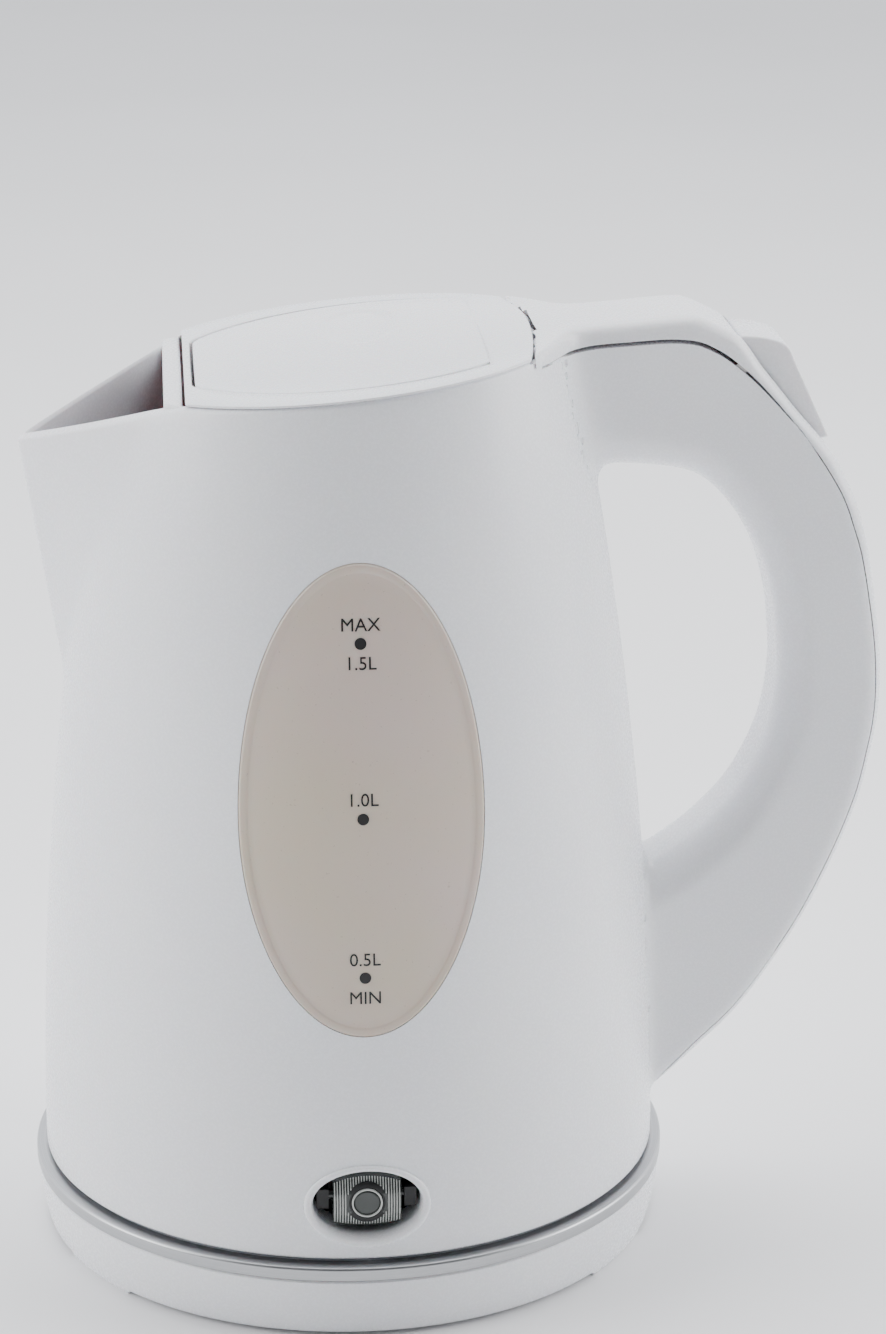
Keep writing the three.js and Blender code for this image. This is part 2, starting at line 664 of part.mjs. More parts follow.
function handleShell() {
  const back = beside(seamLine, handle.coverGap);
  const side = outline([[43.4, 150], ...back, [60, 14], [60, 66], ...[...openingLine].reverse()]);
  const half = handle.width / 2;
  const grip = prismXZ(side, -half, half);
  const neck = back.filter(([x]) => x < 62).reverse();
  const root = common(prismXY(handlePlan(0, 38), 150, 210), block(30, 80, -24, 24, 150, 210),
    prismXZ(outline([[30, 176], [50, 180], [60, 184], ...neck, [30, 195.4]]), -40, 40));
  const floor = beside(openingLine, -handle.wall).filter(([x, z]) => x > 66 && (z > 95 || x > 84));
  const channel = outline([[63, 176], [63, 215], [150, 215], [150, 60], [100, 40.5], [88, 46], [84, 66],
    ...floor.reverse()]);
  const hollow = prismXZ(channel, handle.wall - half, half - handle.wall);
  return cut(join(grip, root), hollow, jugForm(GAP, -5, JUG_CEILING), leverPinHole(), rodWay());
}

function handleCover() {
  const half = handle.width / 2;
  const plan = prismXY(handlePlan(-0.1, 30), -10, 220);
  const strip = common(prismXZ(outline([...outerLine, ...[...seamLine].reverse()]), -60, 60), plan);
  const innerLine = beside(outerLine, handle.coverSkin);
  const core = outline([...innerLine.filter(([x, z]) => x > 47 || z < 100),
    [60, 0], [60, 60], [90, 120], [60, 190], [47, 190]]);
  const hollow = prismXZ(core, handle.coverSkin - half, half - handle.coverSkin);
  const rimOnly = block(-10, 200, -60, 60, -5, 8);
  const seamArc = tilted(prismXY(tonguePlan(0.5), -20, 20));
  const lidSweep = tilted(hingeRod(hinge.sweep, -50, 50, 48));
  return cut(strip, hollow, rimOnly, seamArc, lidSweep, leverPocket(RUN), leverPinHole(), jugForm(GAP, -5, 150));
}

function releaseLever() {
  const { x, z, halfWidth, hub, hubHalf, reach, arm } = lever;
  const face = outline([[x + 0.2, z + 3.8], [x + 0.2, z + 6.7], [x + 3.6, z + 6.8], [98.2, 196.7], [101.4, 195.3],
    [103, 192.8], [107.2, 184], [110.8, 176.9], [112.4, 172.8], [109.4, 172.8], [106.6, 178.0], [103.4, 184],
    [100.4, 190.2], [98.6, 193], [96, z + 3.8]]);
  const cap = common(prismXZ(face, -halfWidth, halfWidth), rod('y', reach, -20, 20, [x, 0, z], 64));
  const boss = rod('y', hub, -hubHalf, hubHalf, [x, 0, z]);
  const web = prismXZ(outline([[x, z], [100, 190], [98, 195], [x + 0.2, z + 5]]), -hubHalf, hubHalf);
  const drop = block(x - lever.armBack, x - 1, -4, 4, z - arm - 2, z);
  return cut(join(cap, boss, web, drop), rod('y', lever.pin + PLAY, -20, 20, [x, 0, z]));
}

function pushRod() {
  const { half, headHalf, low, high, head } = pusher;
  const toe = lever.z - lever.arm;
  const back = lever.x - lever.armBack - 0.4;
  return join(
    block(head[0], head[1], -headHalf, headHalf, low, high),
    block(head[0] + 1, back - 0.1, -half, half, low, high),
    block(back - 3, back, -4, 4, toe - 1.5, low + 1));
}

// ---------------------------------------------------------------- underside of the jug

const plateRadius = jugRadius(jug.floor) - WALL - 2 * GAP - plate.seal;
const elementRadius = (plate.controlRadius + plate.elementTube + plateRadius) / 2;

function heatingPlate() {
  const { thickness } = plate;
  const radius = plateRadius;
  const high = jug.floor;
  return turned([[0, high - thickness], [radius - thickness, high - thickness], [radius - thickness, high - 4],
    [radius, high - 4], [radius, high], [0, high]]);
}

function plateSeal() {
  const inner = plateRadius + GAP;
  const outer = jugRadius(jug.floor) - WALL - GAP;
  return ring(inner, outer, jug.floor - 4, jug.floor + 1.2);
}

function heatingElement() {
  const centre = jug.floor - plate.thickness - 2 * GAP - 1.8 - plate.elementTube;
  const arc = new THREE.EllipseCurve(0, 0, elementRadius, elementRadius, -1.15, Math.PI + 1.15);
  const points = arc.getPoints(40).map((p) => new THREE.Vector3(p.x, p.y, centre));
  return bentBar(new THREE.CatmullRomCurve3(points), plate.elementTube, 30, 12);
}

function diffuser() {
  const high = jug.floor - plate.thickness - GAP;
  const radius = elementRadius + plate.elementTube + 2;
  return turned([[0, high - 1.8], [radius, high - 1.8], [radius, high], [0, high]]);
}

const socket = { wall: 5.0, low: 0.2, ceiling: 15.2, high: 17.0, ringLow: 4.0, shroudWall: 1.2, blade: 0.8 };
const socketRecess = collarRadius + 1.5 * RUN;
const socketOuter = socketRecess + socket.wall;

function socketHousing() {
  const { low, ceiling, high, ringLow, shroudWall } = socket;
  const shroud = (ringRadii[2][1] + collarBore - shroudWall) / 2;
  return turned([[0, ceiling], [shroud, ceiling], [shroud, ringLow], [shroud + shroudWall, ringLow],
    [shroud + shroudWall, ceiling], [socketRecess, ceiling], [socketRecess, low], [socketOuter, low],
    [socketOuter, high], [0, high]]);
}

function controlUnit() {
  const low = socket.high + RUN;
  const high = jug.floor - plate.thickness - GAP - 1.8 - GAP;
  const radius = plate.controlRadius;
  const drum = turned([[0, low], [radius, low], [radius, low + 6], [radius - 4, high], [0, high]], 48);
  return join(drum, block(-16, 16, -radius - 6, 0, low, low + 7));
}

function bottomCover() {
  const outer = jugRadius(0) - WALL - GAP;
  const inner = socketOuter + RUN;
  const sheet = ring(inner, outer, 0.2, 2.2);
  const pads = [30, 150, 270].map((angle) => {
    const turn = THREE.MathUtils.degToRad(angle);
    return rod('z', 4, -1.2, 0.6, [padRadius * Math.cos(turn), padRadius * Math.sin(turn), 0], 20);
  });
  const holes = screwPlaces(jugScrewRadius).map(([x, y]) => rod('z', 3.2, -2, 4, [x, y, 0]));
  return cut(join(sheet, ...pads), ...holes);
}

function buildUnderside(group) {
  place(group, 'heating_plate', heatingPlate(), finish.steel);
  place(group, 'plate_seal', plateSeal(), finish.silicone);
  place(group, 'heat_diffuser', diffuser(), finish.alloy);
  place(group, 'heating_element', heatingElement(), finish.alloy);
  place(group, 'thermostat_control', controlUnit(), finish.black);
  place(group, 'bottom_cover', bottomCover(), finish.white);
  screwPlaces(jugScrewRadius).forEach((spot, i) => {
    place(group, `bottom_screw_${i + 1}`, screw(spot, 0.4, 11), finish.steel);
  });
  place(group, 'socket_housing', socketHousing(), finish.black);
  const [low, high] = [socket.ringLow + 1, socket.ceiling - GAP];
  const blade = (slot) => {
    const room = ringRadii[slot + 1][0] - GAP - connector.contact - ringRadii[slot][1];
    const inner = ringRadii[slot][1] + (room - socket.blade) / 2;
    return ring(inner, inner + socket.blade, low, high, SMALL_ROUND);
  };
  place(group, 'socket_ring_neutral', blade(1), finish.copper);
  place(group, 'socket_ring_live', blade(0), finish.copper);
  const earth = rod('z', connector.pinHole - 0.75, low, high, [0, 0, 0], 16);
  place(group, 'socket_pin_earth', earth, finish.copper);
}

// ---------------------------------------------------------------- rocker switch

function switchBezel() {
  const outside = prismXZ(eyeOutline(eye.half, 0), -jug.footRadius - 0.8, eye.pivotY + 5);
  const inside = prismXZ(eyeOutline(eye.opening, 0), -jug.footRadius - 6, eye.pivotY + 15);
  const tube = cut(outside, inside);
  return cut(tube, prismXZ(ellipse(0, eye.height, 13.1, 9.1), -jug.footRadius - 6, -jug.footRadius));
}

function rocker() {
  const { height, pivotY, rockerHalf, rockerTall, pin } = eye;
  const side = new THREE.Shape();
  side.moveTo(pivotY + 2.5, height - rockerTall + 1.2);
  side.lineTo(pivotY + 2.5, height + rockerTall - 1.2);
  side.lineTo(pivotY - 3.4, height + rockerTall);
  side.quadraticCurveTo(pivotY - 5.8, height, pivotY - 3.4, height - rockerTall);
  const drum = prismYZ(side, -rockerHalf, rockerHalf);
  const front = prismXZ(ellipse(0, height, 12.6, rockerTall), -90, -40);
  const pins = rod('x', pin, -rockerHalf - 3.4, rockerHalf + 3.4, [0, pivotY, height], 20);
  const lens = rod('y', 3.8 + GAP, pivotY - 10, pivotY - 2.8, [0, 0, height]);
  return cut(join(common(drum, front), pins), lens);
}

function rockerLens() {
  const face = rod('y', 3.8, eye.pivotY - 5.3, eye.pivotY - 3.0, [0, 0, eye.height]);
  return face;
}

function switchYoke() {
  const { height, pivotY, rockerHalf, pin, earHalf, earTo } = eye;
  const back = block(-11.4, 11.4, pivotY + 6.4, pivotY + 8.4, height - 7.4, height + 7.4);
  const ears = [-1, 1].map((side) => {
    const [near, far] = side < 0 ? [-earTo, -rockerHalf - 0.9] : [rockerHalf + 0.9, earTo];
    return block(near, far, pivotY - 2.6, pivotY + 7, height - earHalf, height + earHalf);
  });
  const window = rod('y', 2.4, pivotY, pivotY + 12, [0, 0, height], 20);
  return cut(join(back, ...ears), rod('x', pin + PLAY, -20, 20, [0, pivotY, height], 20), window);
}

function buildSwitch(group) {
  const { height, pivotY } = eye;
  place(group, 'switch_bezel', switchBezel(), finish.white);
  place(group, 'power_rocker', rocker(), finish.clear);
  place(group, 'rocker_lens', rockerLens(), finish.clear);
  place(group, 'switch_yoke', switchYoke(), finish.black);
  const lamp = turned([[0, 0], [1.6, 0], [1.6, 3.4], [0, 4.6]], 16).rotate([90, 0, 0]);
  place(group, 'pilot_lamp', lamp.translate([0, pivotY + 15.7, height]), finish.amber);
  const box = block(-9, 9, pivotY + 8.4 + GAP, pivotY + 18, height - 7, height + 7);
  place(group, 'switch_body', cut(box, rod('y', 2.4, pivotY, pivotY + 16, [0, 0, height])), finish.black);
  [-1, 1].forEach((side) => {
    const from = pivotY + 18 + GAP;
    const to = -plate.controlRadius - 6 - GAP;
    const high = socket.high + RUN + 3.5;
    const path = [[5, from, height + 3], [5.4, from + 3, height + 3], [8, (from + to) / 2, height + 4],
      [9, to - 3, high], [9, to, high]].map(([x, y, z]) => new THREE.Vector3(side * x, y, z));
    const lead = bentBar(new THREE.CatmullRomCurve3(path), 0.8, 14, 8);
    place(group, side < 0 ? 'lamp_lead_1' : 'lamp_lead_2', lead, finish.grey);
  });
}

// ---------------------------------------------------------------- assembly

function buildJug(group) {
  place(group, 'jug_shell', jugShell(), finish.white);
  place(group, 'water_window', waterWindow(), finish.smoke);
  place(group, 'spout_filter', spoutFilter(), finish.grey);
  place(group, 'top_frame', topFrame(), finish.white);
  place(group, 'handle_shell', handleShell(), finish.white);
  place(group, 'handle_cover', handleCover(), finish.white);
  place(group, 'lid_top', lidTop(), finish.white);
  place(group, 'lid_inner', lidInner(), finish.white);
  place(group, 'lid_seal', lidSeal(), finish.silicone);
  place(group, 'lid_hinge_pin', tilted(hingeRod(hinge.pin, -hinge.earTo, hinge.earTo)), finish.steel);
  const lidSpring = torsionSpring(2.3, 0.4, 4, 6.4, [3, 0.8]).translate([hinge.u, 0, hinge.w]);
  place(group, 'lid_spring', tilted(lidSpring), finish.steel);
  place(group, 'release_lever', releaseLever(), finish.white);
  const pinHalf = handle.width / 2 - 1.6;
  place(group, 'lever_pin', rod('y', lever.pin, -pinHalf, pinHalf, [lever.x, 0, lever.z]), finish.steel);
  const springRoom = Math.min(handle.width / 2 - handle.wall, lever.halfWidth + RUN);
  const springSide = (lever.hubHalf + springRoom) / 2;
  const leverSpring = torsionSpring(2.6, 0.4, 2, 2.0, [2, 2]).translate([lever.x, springSide, lever.z]);
  place(group, 'lever_spring', leverSpring, finish.steel);
  place(group, 'push_rod', pushRod(), finish.grey);
}

const kettle = new THREE.Group();
const standing = new THREE.Group();
const lifting = new THREE.Group();
lifting.position.z = jug.seat;
kettle.add(standing, lifting);
buildBase(standing);
buildUnderside(lifting);
buildSwitch(lifting);
buildJug(lifting);

export default kettle;
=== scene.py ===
"""Looks of the cordless electric kettle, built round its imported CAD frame.

Lengths are millimetres in the dataclass fields and become metres where a mesh is made.
The jug's own pieces count their heights from its lower edge, which stands SEAT above the table.
"""

import json
import logging
import math
from dataclasses import dataclass
from enum import Enum
from typing import Any, Callable, Optional, Sequence

import bmesh
import bpy
import numpy as np
from mathutils import Matrix, Vector

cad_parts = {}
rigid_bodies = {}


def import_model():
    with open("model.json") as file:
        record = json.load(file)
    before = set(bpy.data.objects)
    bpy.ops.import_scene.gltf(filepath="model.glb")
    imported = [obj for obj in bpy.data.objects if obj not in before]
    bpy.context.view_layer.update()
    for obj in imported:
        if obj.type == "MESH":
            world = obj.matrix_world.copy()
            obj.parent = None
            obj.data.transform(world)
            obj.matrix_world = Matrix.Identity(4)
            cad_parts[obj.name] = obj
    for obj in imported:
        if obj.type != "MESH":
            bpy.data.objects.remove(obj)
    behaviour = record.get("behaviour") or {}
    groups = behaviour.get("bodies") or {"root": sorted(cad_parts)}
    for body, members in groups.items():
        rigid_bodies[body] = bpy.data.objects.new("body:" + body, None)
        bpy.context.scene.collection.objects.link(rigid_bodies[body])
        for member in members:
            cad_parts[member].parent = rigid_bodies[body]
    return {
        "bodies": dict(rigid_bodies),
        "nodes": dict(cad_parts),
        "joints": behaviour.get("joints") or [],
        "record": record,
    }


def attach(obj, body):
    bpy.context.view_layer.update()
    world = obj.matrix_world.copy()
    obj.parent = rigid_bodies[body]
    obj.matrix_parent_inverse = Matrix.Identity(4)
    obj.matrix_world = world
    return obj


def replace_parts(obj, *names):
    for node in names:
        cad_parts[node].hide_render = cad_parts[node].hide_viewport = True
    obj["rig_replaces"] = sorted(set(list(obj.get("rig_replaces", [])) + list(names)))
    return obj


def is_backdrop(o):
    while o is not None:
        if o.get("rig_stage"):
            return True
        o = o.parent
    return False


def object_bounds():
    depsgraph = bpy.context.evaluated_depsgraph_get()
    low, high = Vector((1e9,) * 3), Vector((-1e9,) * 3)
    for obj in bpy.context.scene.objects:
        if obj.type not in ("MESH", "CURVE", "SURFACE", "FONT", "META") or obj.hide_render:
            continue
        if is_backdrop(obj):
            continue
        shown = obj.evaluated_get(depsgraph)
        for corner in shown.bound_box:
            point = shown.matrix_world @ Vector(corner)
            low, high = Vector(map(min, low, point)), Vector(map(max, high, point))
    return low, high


log = logging.getLogger("kettle")

MM = 0.001
SEAT = 19.5
LEAN = math.atan(0.1)
EDGE_PLANE = 194.95
Points = Sequence[tuple[float, float]]


# ------------------------------------------------------------------ colours and nodes


def linear(hex_colour: str) -> tuple[float, float, float, float]:
    """Turns an sRGB hex colour into a linear one.

    Args:
        hex_colour: six hex digits.

    Returns:
        Red, green, blue and alpha for a shader socket.
    """
    parts = [int(hex_colour[i : i + 2], 16) / 255 for i in (0, 2, 4)]
    return tuple(c / 12.92 if c <= 0.04045 else ((c + 0.055) / 1.055) ** 2.4 for c in parts) + (1.0,)


def add(tree: bpy.types.NodeTree, kind: str, settings: Optional[dict[str, Any]] = None, **inputs: Any) -> Any:
    """Adds a node, sets its properties and fills or links its inputs.

    Args:
        tree: the tree that gets the node.
        kind: the node's type name.
        settings: properties to set on the node.
        inputs: socket names, with _ for a space or iN for the Nth socket; each a value or an output socket.

    Returns:
        The new node.
    """
    node = tree.nodes.new(kind)
    for key, value in (settings or {}).items():
        setattr(node, key, value)
    for key, value in inputs.items():
        place = int(key[1:]) if key[0] == "i" and key[1:].isdigit() else key.replace("_", " ")
        if isinstance(value, bpy.types.NodeSocket):
            tree.links.new(value, node.inputs[place])
        else:
            node.inputs[place].default_value = value
    return node


class Lay(Enum):
    """Which way the lines of a worked metal run."""

    ROUND = "round the axis"
    PLAIN = "no direction"


@dataclass(frozen=True)
class Plastic:
    """Injection-moulded plastic: a near-even colour with the mould's fine texture in its gloss and bump."""

    name: str
    colour: str
    second: str
    roughness: float
    spread: float = 0.06
    grain: float = 0.6
    bump: float = 0.01
    cloud: float = 45.0
    transmission: float = 0.0
    subsurface: float = 0.0
    ior: float = 1.49

    def material(self) -> bpy.types.Material:
        """Builds the node material, or returns the one already built.

        Returns:
            The material.
        """
        if self.name in bpy.data.materials:
            return bpy.data.materials[self.name]
        made = bpy.data.materials.new(self.name)
        made.use_nodes = True
        tree = made.node_tree
        tree.nodes.clear()
        place = add(tree, "ShaderNodeTexCoord").outputs["Object"]
        cloud = add(tree, "ShaderNodeTexNoise", Vector=place, Scale=1000 / self.cloud, Detail=3.0)
        grain = add(tree, "ShaderNodeTexNoise", Vector=place, Scale=1000 / self.grain, Detail=2.0)
        ramp = add(tree, "ShaderNodeValToRGB", Fac=cloud.outputs["Fac"])
        ramp.color_ramp.elements[0].position = 0.35
        ramp.color_ramp.elements[1].position = 0.65
        ramp.color_ramp.elements[0].color = linear(self.colour)
        ramp.color_ramp.elements[1].color = linear(self.second)
        gloss = add(
            tree, "ShaderNodeMapRange", Value=grain.outputs["Fac"],
            To_Min=self.roughness - self.spread, To_Max=self.roughness + self.spread,
        )
        bump = add(
            tree, "ShaderNodeBump", Height=grain.outputs["Fac"], Strength=0.35, Distance=self.bump * MM,
        )
        shader = add(
            tree, "ShaderNodeBsdfPrincipled", Base_Color=ramp.outputs["Color"], Roughness=gloss.outputs["Result"],
            Normal=bump.outputs["Normal"], IOR=self.ior, Transmission_Weight=self.transmission,
            Subsurface_Weight=self.subsurface, Subsurface_Scale=0.004,
        )
        add(tree, "ShaderNodeOutputMaterial", Surface=shader.outputs[0])
        return made


@dataclass(frozen=True)
class Metal:
    """Worked metal: its lines, or its plain rolled grain, drawn in gloss, tone and bump."""

    name: str
    colour: str
    dark: str
    roughness: float
    lay: Lay = Lay.PLAIN
    grain: float = 0.5
    bump: float = 0.006

    def material(self) -> bpy.types.Material:
        """Builds the node material, or returns the one already built.

        Returns:
            The material.
        """
        if self.name in bpy.data.materials:
            return bpy.data.materials[self.name]
        made = bpy.data.materials.new(self.name)
        made.use_nodes = True
        tree = made.node_tree
        tree.nodes.clear()
        place = add(tree, "ShaderNodeTexCoord").outputs["Object"]
        if self.lay is Lay.ROUND:
            flat = add(tree, "ShaderNodeVectorMath", {"operation": "MULTIPLY"}, i0=place, i1=(1.0, 1.0, 0.0))
            radius = add(tree, "ShaderNodeVectorMath", {"operation": "LENGTH"}, i0=flat.outputs[0])
            split = add(tree, "ShaderNodeSeparateXYZ", Vector=place)
            lines = add(tree, "ShaderNodeCombineXYZ", X=radius.outputs["Value"], Y=split.outputs["Z"])
            place = lines.outputs[0]
        grain = add(tree, "ShaderNodeTexNoise", Vector=place, Scale=1000 / self.grain, Detail=2.0)
        ramp = add(tree, "ShaderNodeValToRGB", Fac=grain.outputs["Fac"])
        ramp.color_ramp.elements[0].position = 0.3
        ramp.color_ramp.elements[1].position = 0.7
        ramp.color_ramp.elements[0].color = linear(self.dark)
        ramp.color_ramp.elements[1].color = linear(self.colour)
        gloss = add(
            tree, "ShaderNodeMapRange", Value=grain.outputs["Fac"],
            To_Min=self.roughness - 0.08, To_Max=self.roughness + 0.08,
        )
        bump = add(
            tree, "ShaderNodeBump", Height=grain.outputs["Fac"], Strength=0.3, Distance=self.bump * MM,
        )
        shader = add(
            tree, "ShaderNodeBsdfPrincipled", Base_Color=ramp.outputs["Color"], Metallic=1.0,
            Roughness=gloss.outputs["Result"], Normal=bump.outputs["Normal"],
        )
        add(tree, "ShaderNodeOutputMaterial", Surface=shader.outputs[0])
        return made


# Moulded polypropylene, bleached white: soft gloss with a faint cool shade.
WHITE = Plastic("polypropylene_white_moulded", "F3F4F7", "EFF0F4", 0.27, subsurface=0.08)
# The same plastic from a spark-textured mould: the base's matt top.
WHITE_MATT = Plastic("polypropylene_white_textured", "EEF0F5", "EAECF2", 0.5, bump=0.02, subsurface=0.05)
# Smoked polypropylene, half clear: light enters it and comes back warm.
SMOKED = Plastic(
    "polypropylene_smoked_half_clear", "D9C9C1", "D6C9B6", 0.3, cloud=60, transmission=0.12, subsurface=0.2,
)
# Glass-filled black nylon: deep black with a dull sheen.
BLACK = Plastic("nylon_black_glass_filled", "0D0E0F", "15171A", 0.42, bump=0.015, grain=0.5)
# Grey nylon: natural, dull.
GREY = Plastic("nylon_grey_moulded", "B4B6B9", "A9ABAF", 0.5, bump=0.02)
# Silicone rubber: milky and soft to the eye.
SILICONE = Plastic("silicone_rubber_moulded", "DADAD6", "D2D2CE", 0.62, subsurface=0.3, ior=1.41)
# Polycarbonate, polished tool: clear with a grey cast.
CLEAR = Plastic("polycarbonate_clear_polished", "8E948F", "7C827E", 0.12, 0.03, transmission=0.55, ior=1.585)
# Polycarbonate ribs on edge, with a painted highlight: an opaque pale colour stands in for the light their edges
# catch. The same painted highlight also rings the lens.
RIB_PAINTED_HIGHLIGHT = Plastic("polycarbonate_rib_edges", "C9CCC8", "BFC2BE", 0.2, 0.03, ior=1.585)
# Polycarbonate, smoked: the dark lens over the lamp.
LENS = Plastic("polycarbonate_smoked_polished", "3C423F", "2E3331", 0.1, 0.03, transmission=0.15, ior=1.585)
# Pad-printed ink: flat black film.
INK = Plastic("pad_print_ink_black", "0C0C0D", "141415", 0.45, bump=0.004)
# Neon lamp glass, amber when dark.
LAMP = Plastic("lamp_glass_amber", "C98A4A", "B87838", 0.12, 0.03, transmission=0.6, ior=1.5)
# Stainless steel strip, brushed round the ring: bright with fine circles.
TRIM = Metal("stainless_steel_brushed_round", "C3C4C6", "A2A4A6", 0.34, Lay.ROUND, 0.35)
# Stainless steel sheet, 2B rolled.
STEEL = Metal("stainless_steel_rolled", "BDBCBA", "A9A8A6", 0.3, grain=1.2)
# Aluminium casting.
ALUMINIUM = Metal("aluminium_die_cast", "C6C8CA", "B2B4B6", 0.42, grain=1.0, bump=0.02)
# Copper strip, lightly oxidised.
COPPER = Metal("copper_strip_rolled", "C77F5A", "A8603C", 0.3, grain=0.8)

SLOT_FINISH = {
    "white_gloss": WHITE, "trim_steel": TRIM, "steel": STEEL, "grey_plastic": GREY, "black_plastic": BLACK,
    "copper_contact": COPPER, "aluminium": ALUMINIUM, "silicone": SILICONE, "smoked_clear": SMOKED,
    "clear": CLEAR, "lamp": LAMP,
}


# ------------------------------------------------------------------ meshes


def grid_faces(rows: int, columns: int, wrap_rows: bool, wrap_columns: bool) -> list[tuple[int, ...]]:
    """Quads over a grid of points stored row by row.

    Args:
        rows: number of rows.
        columns: points in a row.
        wrap_rows: the last row joins the first.
        wrap_columns: the last column joins the first.

    Returns:
        Faces as index tuples.
    """
    faces = []
    for r in range(rows if wrap_rows else rows - 1):
        here, there = r * columns, ((r + 1) % rows) * columns
        for c in range(columns if wrap_columns else columns - 1):
            d = (c + 1) % columns
            faces.append((here + c, here + d, there + d, there + c))
    return faces


def make_piece(
    name: str, points: np.ndarray, faces: Sequence[Sequence[int]], lift: float = 0.0, sharp: float = 32.0,
    merge: float = 0.002,
) -> bpy.types.Object:
    """Makes a closed mesh object from millimetres, with its faces outward and smooth shading.

    Args:
        name: the object's name.
        points: N by 3 places in millimetres.
        faces: index tuples.
        lift: height added to every point, in millimetres.
        sharp: edges that turn more than this many degrees stay crisp.
        merge: points closer than this many millimetres become one.

    Returns:
        The new object, linked to the scene.
    """
    mesh = bpy.data.meshes.new(name)
    place = (np.asarray(points, float).reshape(-1, 3) + [0, 0, lift]) * MM
    mesh.from_pydata(place.tolist(), [], [tuple(f) for f in faces])
    work = bmesh.new()
    work.from_mesh(mesh)
    bmesh.ops.remove_doubles(work, verts=work.verts, dist=merge * MM)
    bmesh.ops.dissolve_degenerate(work, edges=work.edges, dist=1e-7)
    if work.calc_volume(signed=True) < 0:
        bmesh.ops.reverse_faces(work, faces=work.faces)
    work.to_mesh(mesh)
    work.free()
    made = bpy.data.objects.new(name, mesh)
    bpy.context.scene.collection.objects.link(made)
    shade(made, sharp)
    return made


def shade(piece: bpy.types.Object, sharp: float = 32.0) -> None:
    """Smooth shading with crisp edges above an angle.

    Args:
        piece: the object.
        sharp: the angle in degrees.
    """
    piece.data.shade_smooth()
    piece.data.set_sharp_from_angle(angle=math.radians(sharp))


def settle(piece: bpy.types.Object) -> None:
    """Turns a piece's modifiers into plain mesh.

    Args:
        piece: the object, which keeps its name.
    """
    bpy.context.view_layer.update()
    evaluated = piece.evaluated_get(bpy.context.evaluated_depsgraph_get())
    plain = bpy.data.meshes.new_from_object(evaluated)
    piece.modifiers.clear()
    old = piece.data
    piece.data = plain
    bpy.data.meshes.remove(old)


def carve(
    piece: bpy.types.Object,
    cutters: Sequence[bpy.types.Object],
    how: str = "DIFFERENCE",
    sharp: float = 32.0,
) -> None:
    """Cuts, joins or crosses a piece with closed cutters, which are then removed.

    Args:
        piece: the object to change.
        cutters: closed mesh objects.
        how: DIFFERENCE, UNION or INTERSECT.
        sharp: angle for crisp edges, in degrees.
    """
    for cutter in cutters:
        change = piece.modifiers.new("carve", "BOOLEAN")
        change.operation = how
        change.solver = "EXACT"
        change.object = cutter
    settle(piece)
    for cutter in cutters:
        bpy.data.objects.remove(cutter)
    shade(piece, sharp)


def bevelled(
    piece: bpy.types.Object, width: float, segments: int = 3, angle: float = 30.0,
) -> bpy.types.Object:
    """Rounds a piece's crisp edges.

    Args:
        piece: the object.
        width: size of the round in millimetres.
        segments: faces across it.
        angle: edges sharper than this are rounded, in degrees.

    Returns:
        The same object.
    """
    bevel = piece.modifiers.new("edges", "BEVEL")
    bevel.width = width * MM
    bevel.segments = segments
    bevel.limit_method = "ANGLE"
    bevel.angle_limit = math.radians(angle)
    bevel.use_clamp_overlap = True
    settle(piece)
    shade(piece, 40)
    return piece


def rounded(corners: Sequence[tuple[float, float, float]], steps: int = 4) -> np.ndarray:
    """A closed outline with each corner rounded.

    Args:
        corners: x, y and corner radius in turn.
        steps: segments in each round.

    Returns:
        N by 2 points.
    """
    out: list[np.ndarray] = []
    count = len(corners)
    for i, (x, y, radius) in enumerate(corners):
        here = np.array([x, y])
        before = np.array(corners[i - 1][:2]) - here
        after = np.array(corners[(i + 1) % count][:2]) - here
        if radius <= 0 or not before.any() or not after.any():
            out.append(here)
            continue
        a, b = before / np.linalg.norm(before), after / np.linalg.norm(after)
        half = math.acos(max(-1.0, min(1.0, float(a @ b)))) / 2
        run = min(radius / math.tan(half), 0.49 * np.linalg.norm(before), 0.49 * np.linalg.norm(after))
        start, end = here + a * run, here + b * run
        for s in range(steps + 1):
            t = s / steps
            out.append((1 - t) ** 2 * start + 2 * t * (1 - t) * (here * 0.82 + (start + end) * 0.09) + t**2 * end)
    return np.array(out)


def turned(
    name: str,
    corners: Sequence[tuple[float, float, float]],
    lift: float = 0.0,
    around: int = 192,
) -> bpy.types.Object:
    """A turned piece round the Z axis.

    Args:
        name: the object's name.
        corners: radius, height and corner radius round the closed section.
        lift: height added, in millimetres.
        around: facets round the axis.

    Returns:
        The object.
    """
    section = rounded(corners)
    turn = np.arange(around) * 2 * math.pi / around
    rows = np.stack(
        [np.outer(section[:, 0], np.cos(turn)), np.outer(section[:, 0], np.sin(turn)),
         np.repeat(section[:, 1:2], around, axis=1)], axis=2,
    )
    return make_piece(name, rows, grid_faces(len(section), around, True, True), lift)


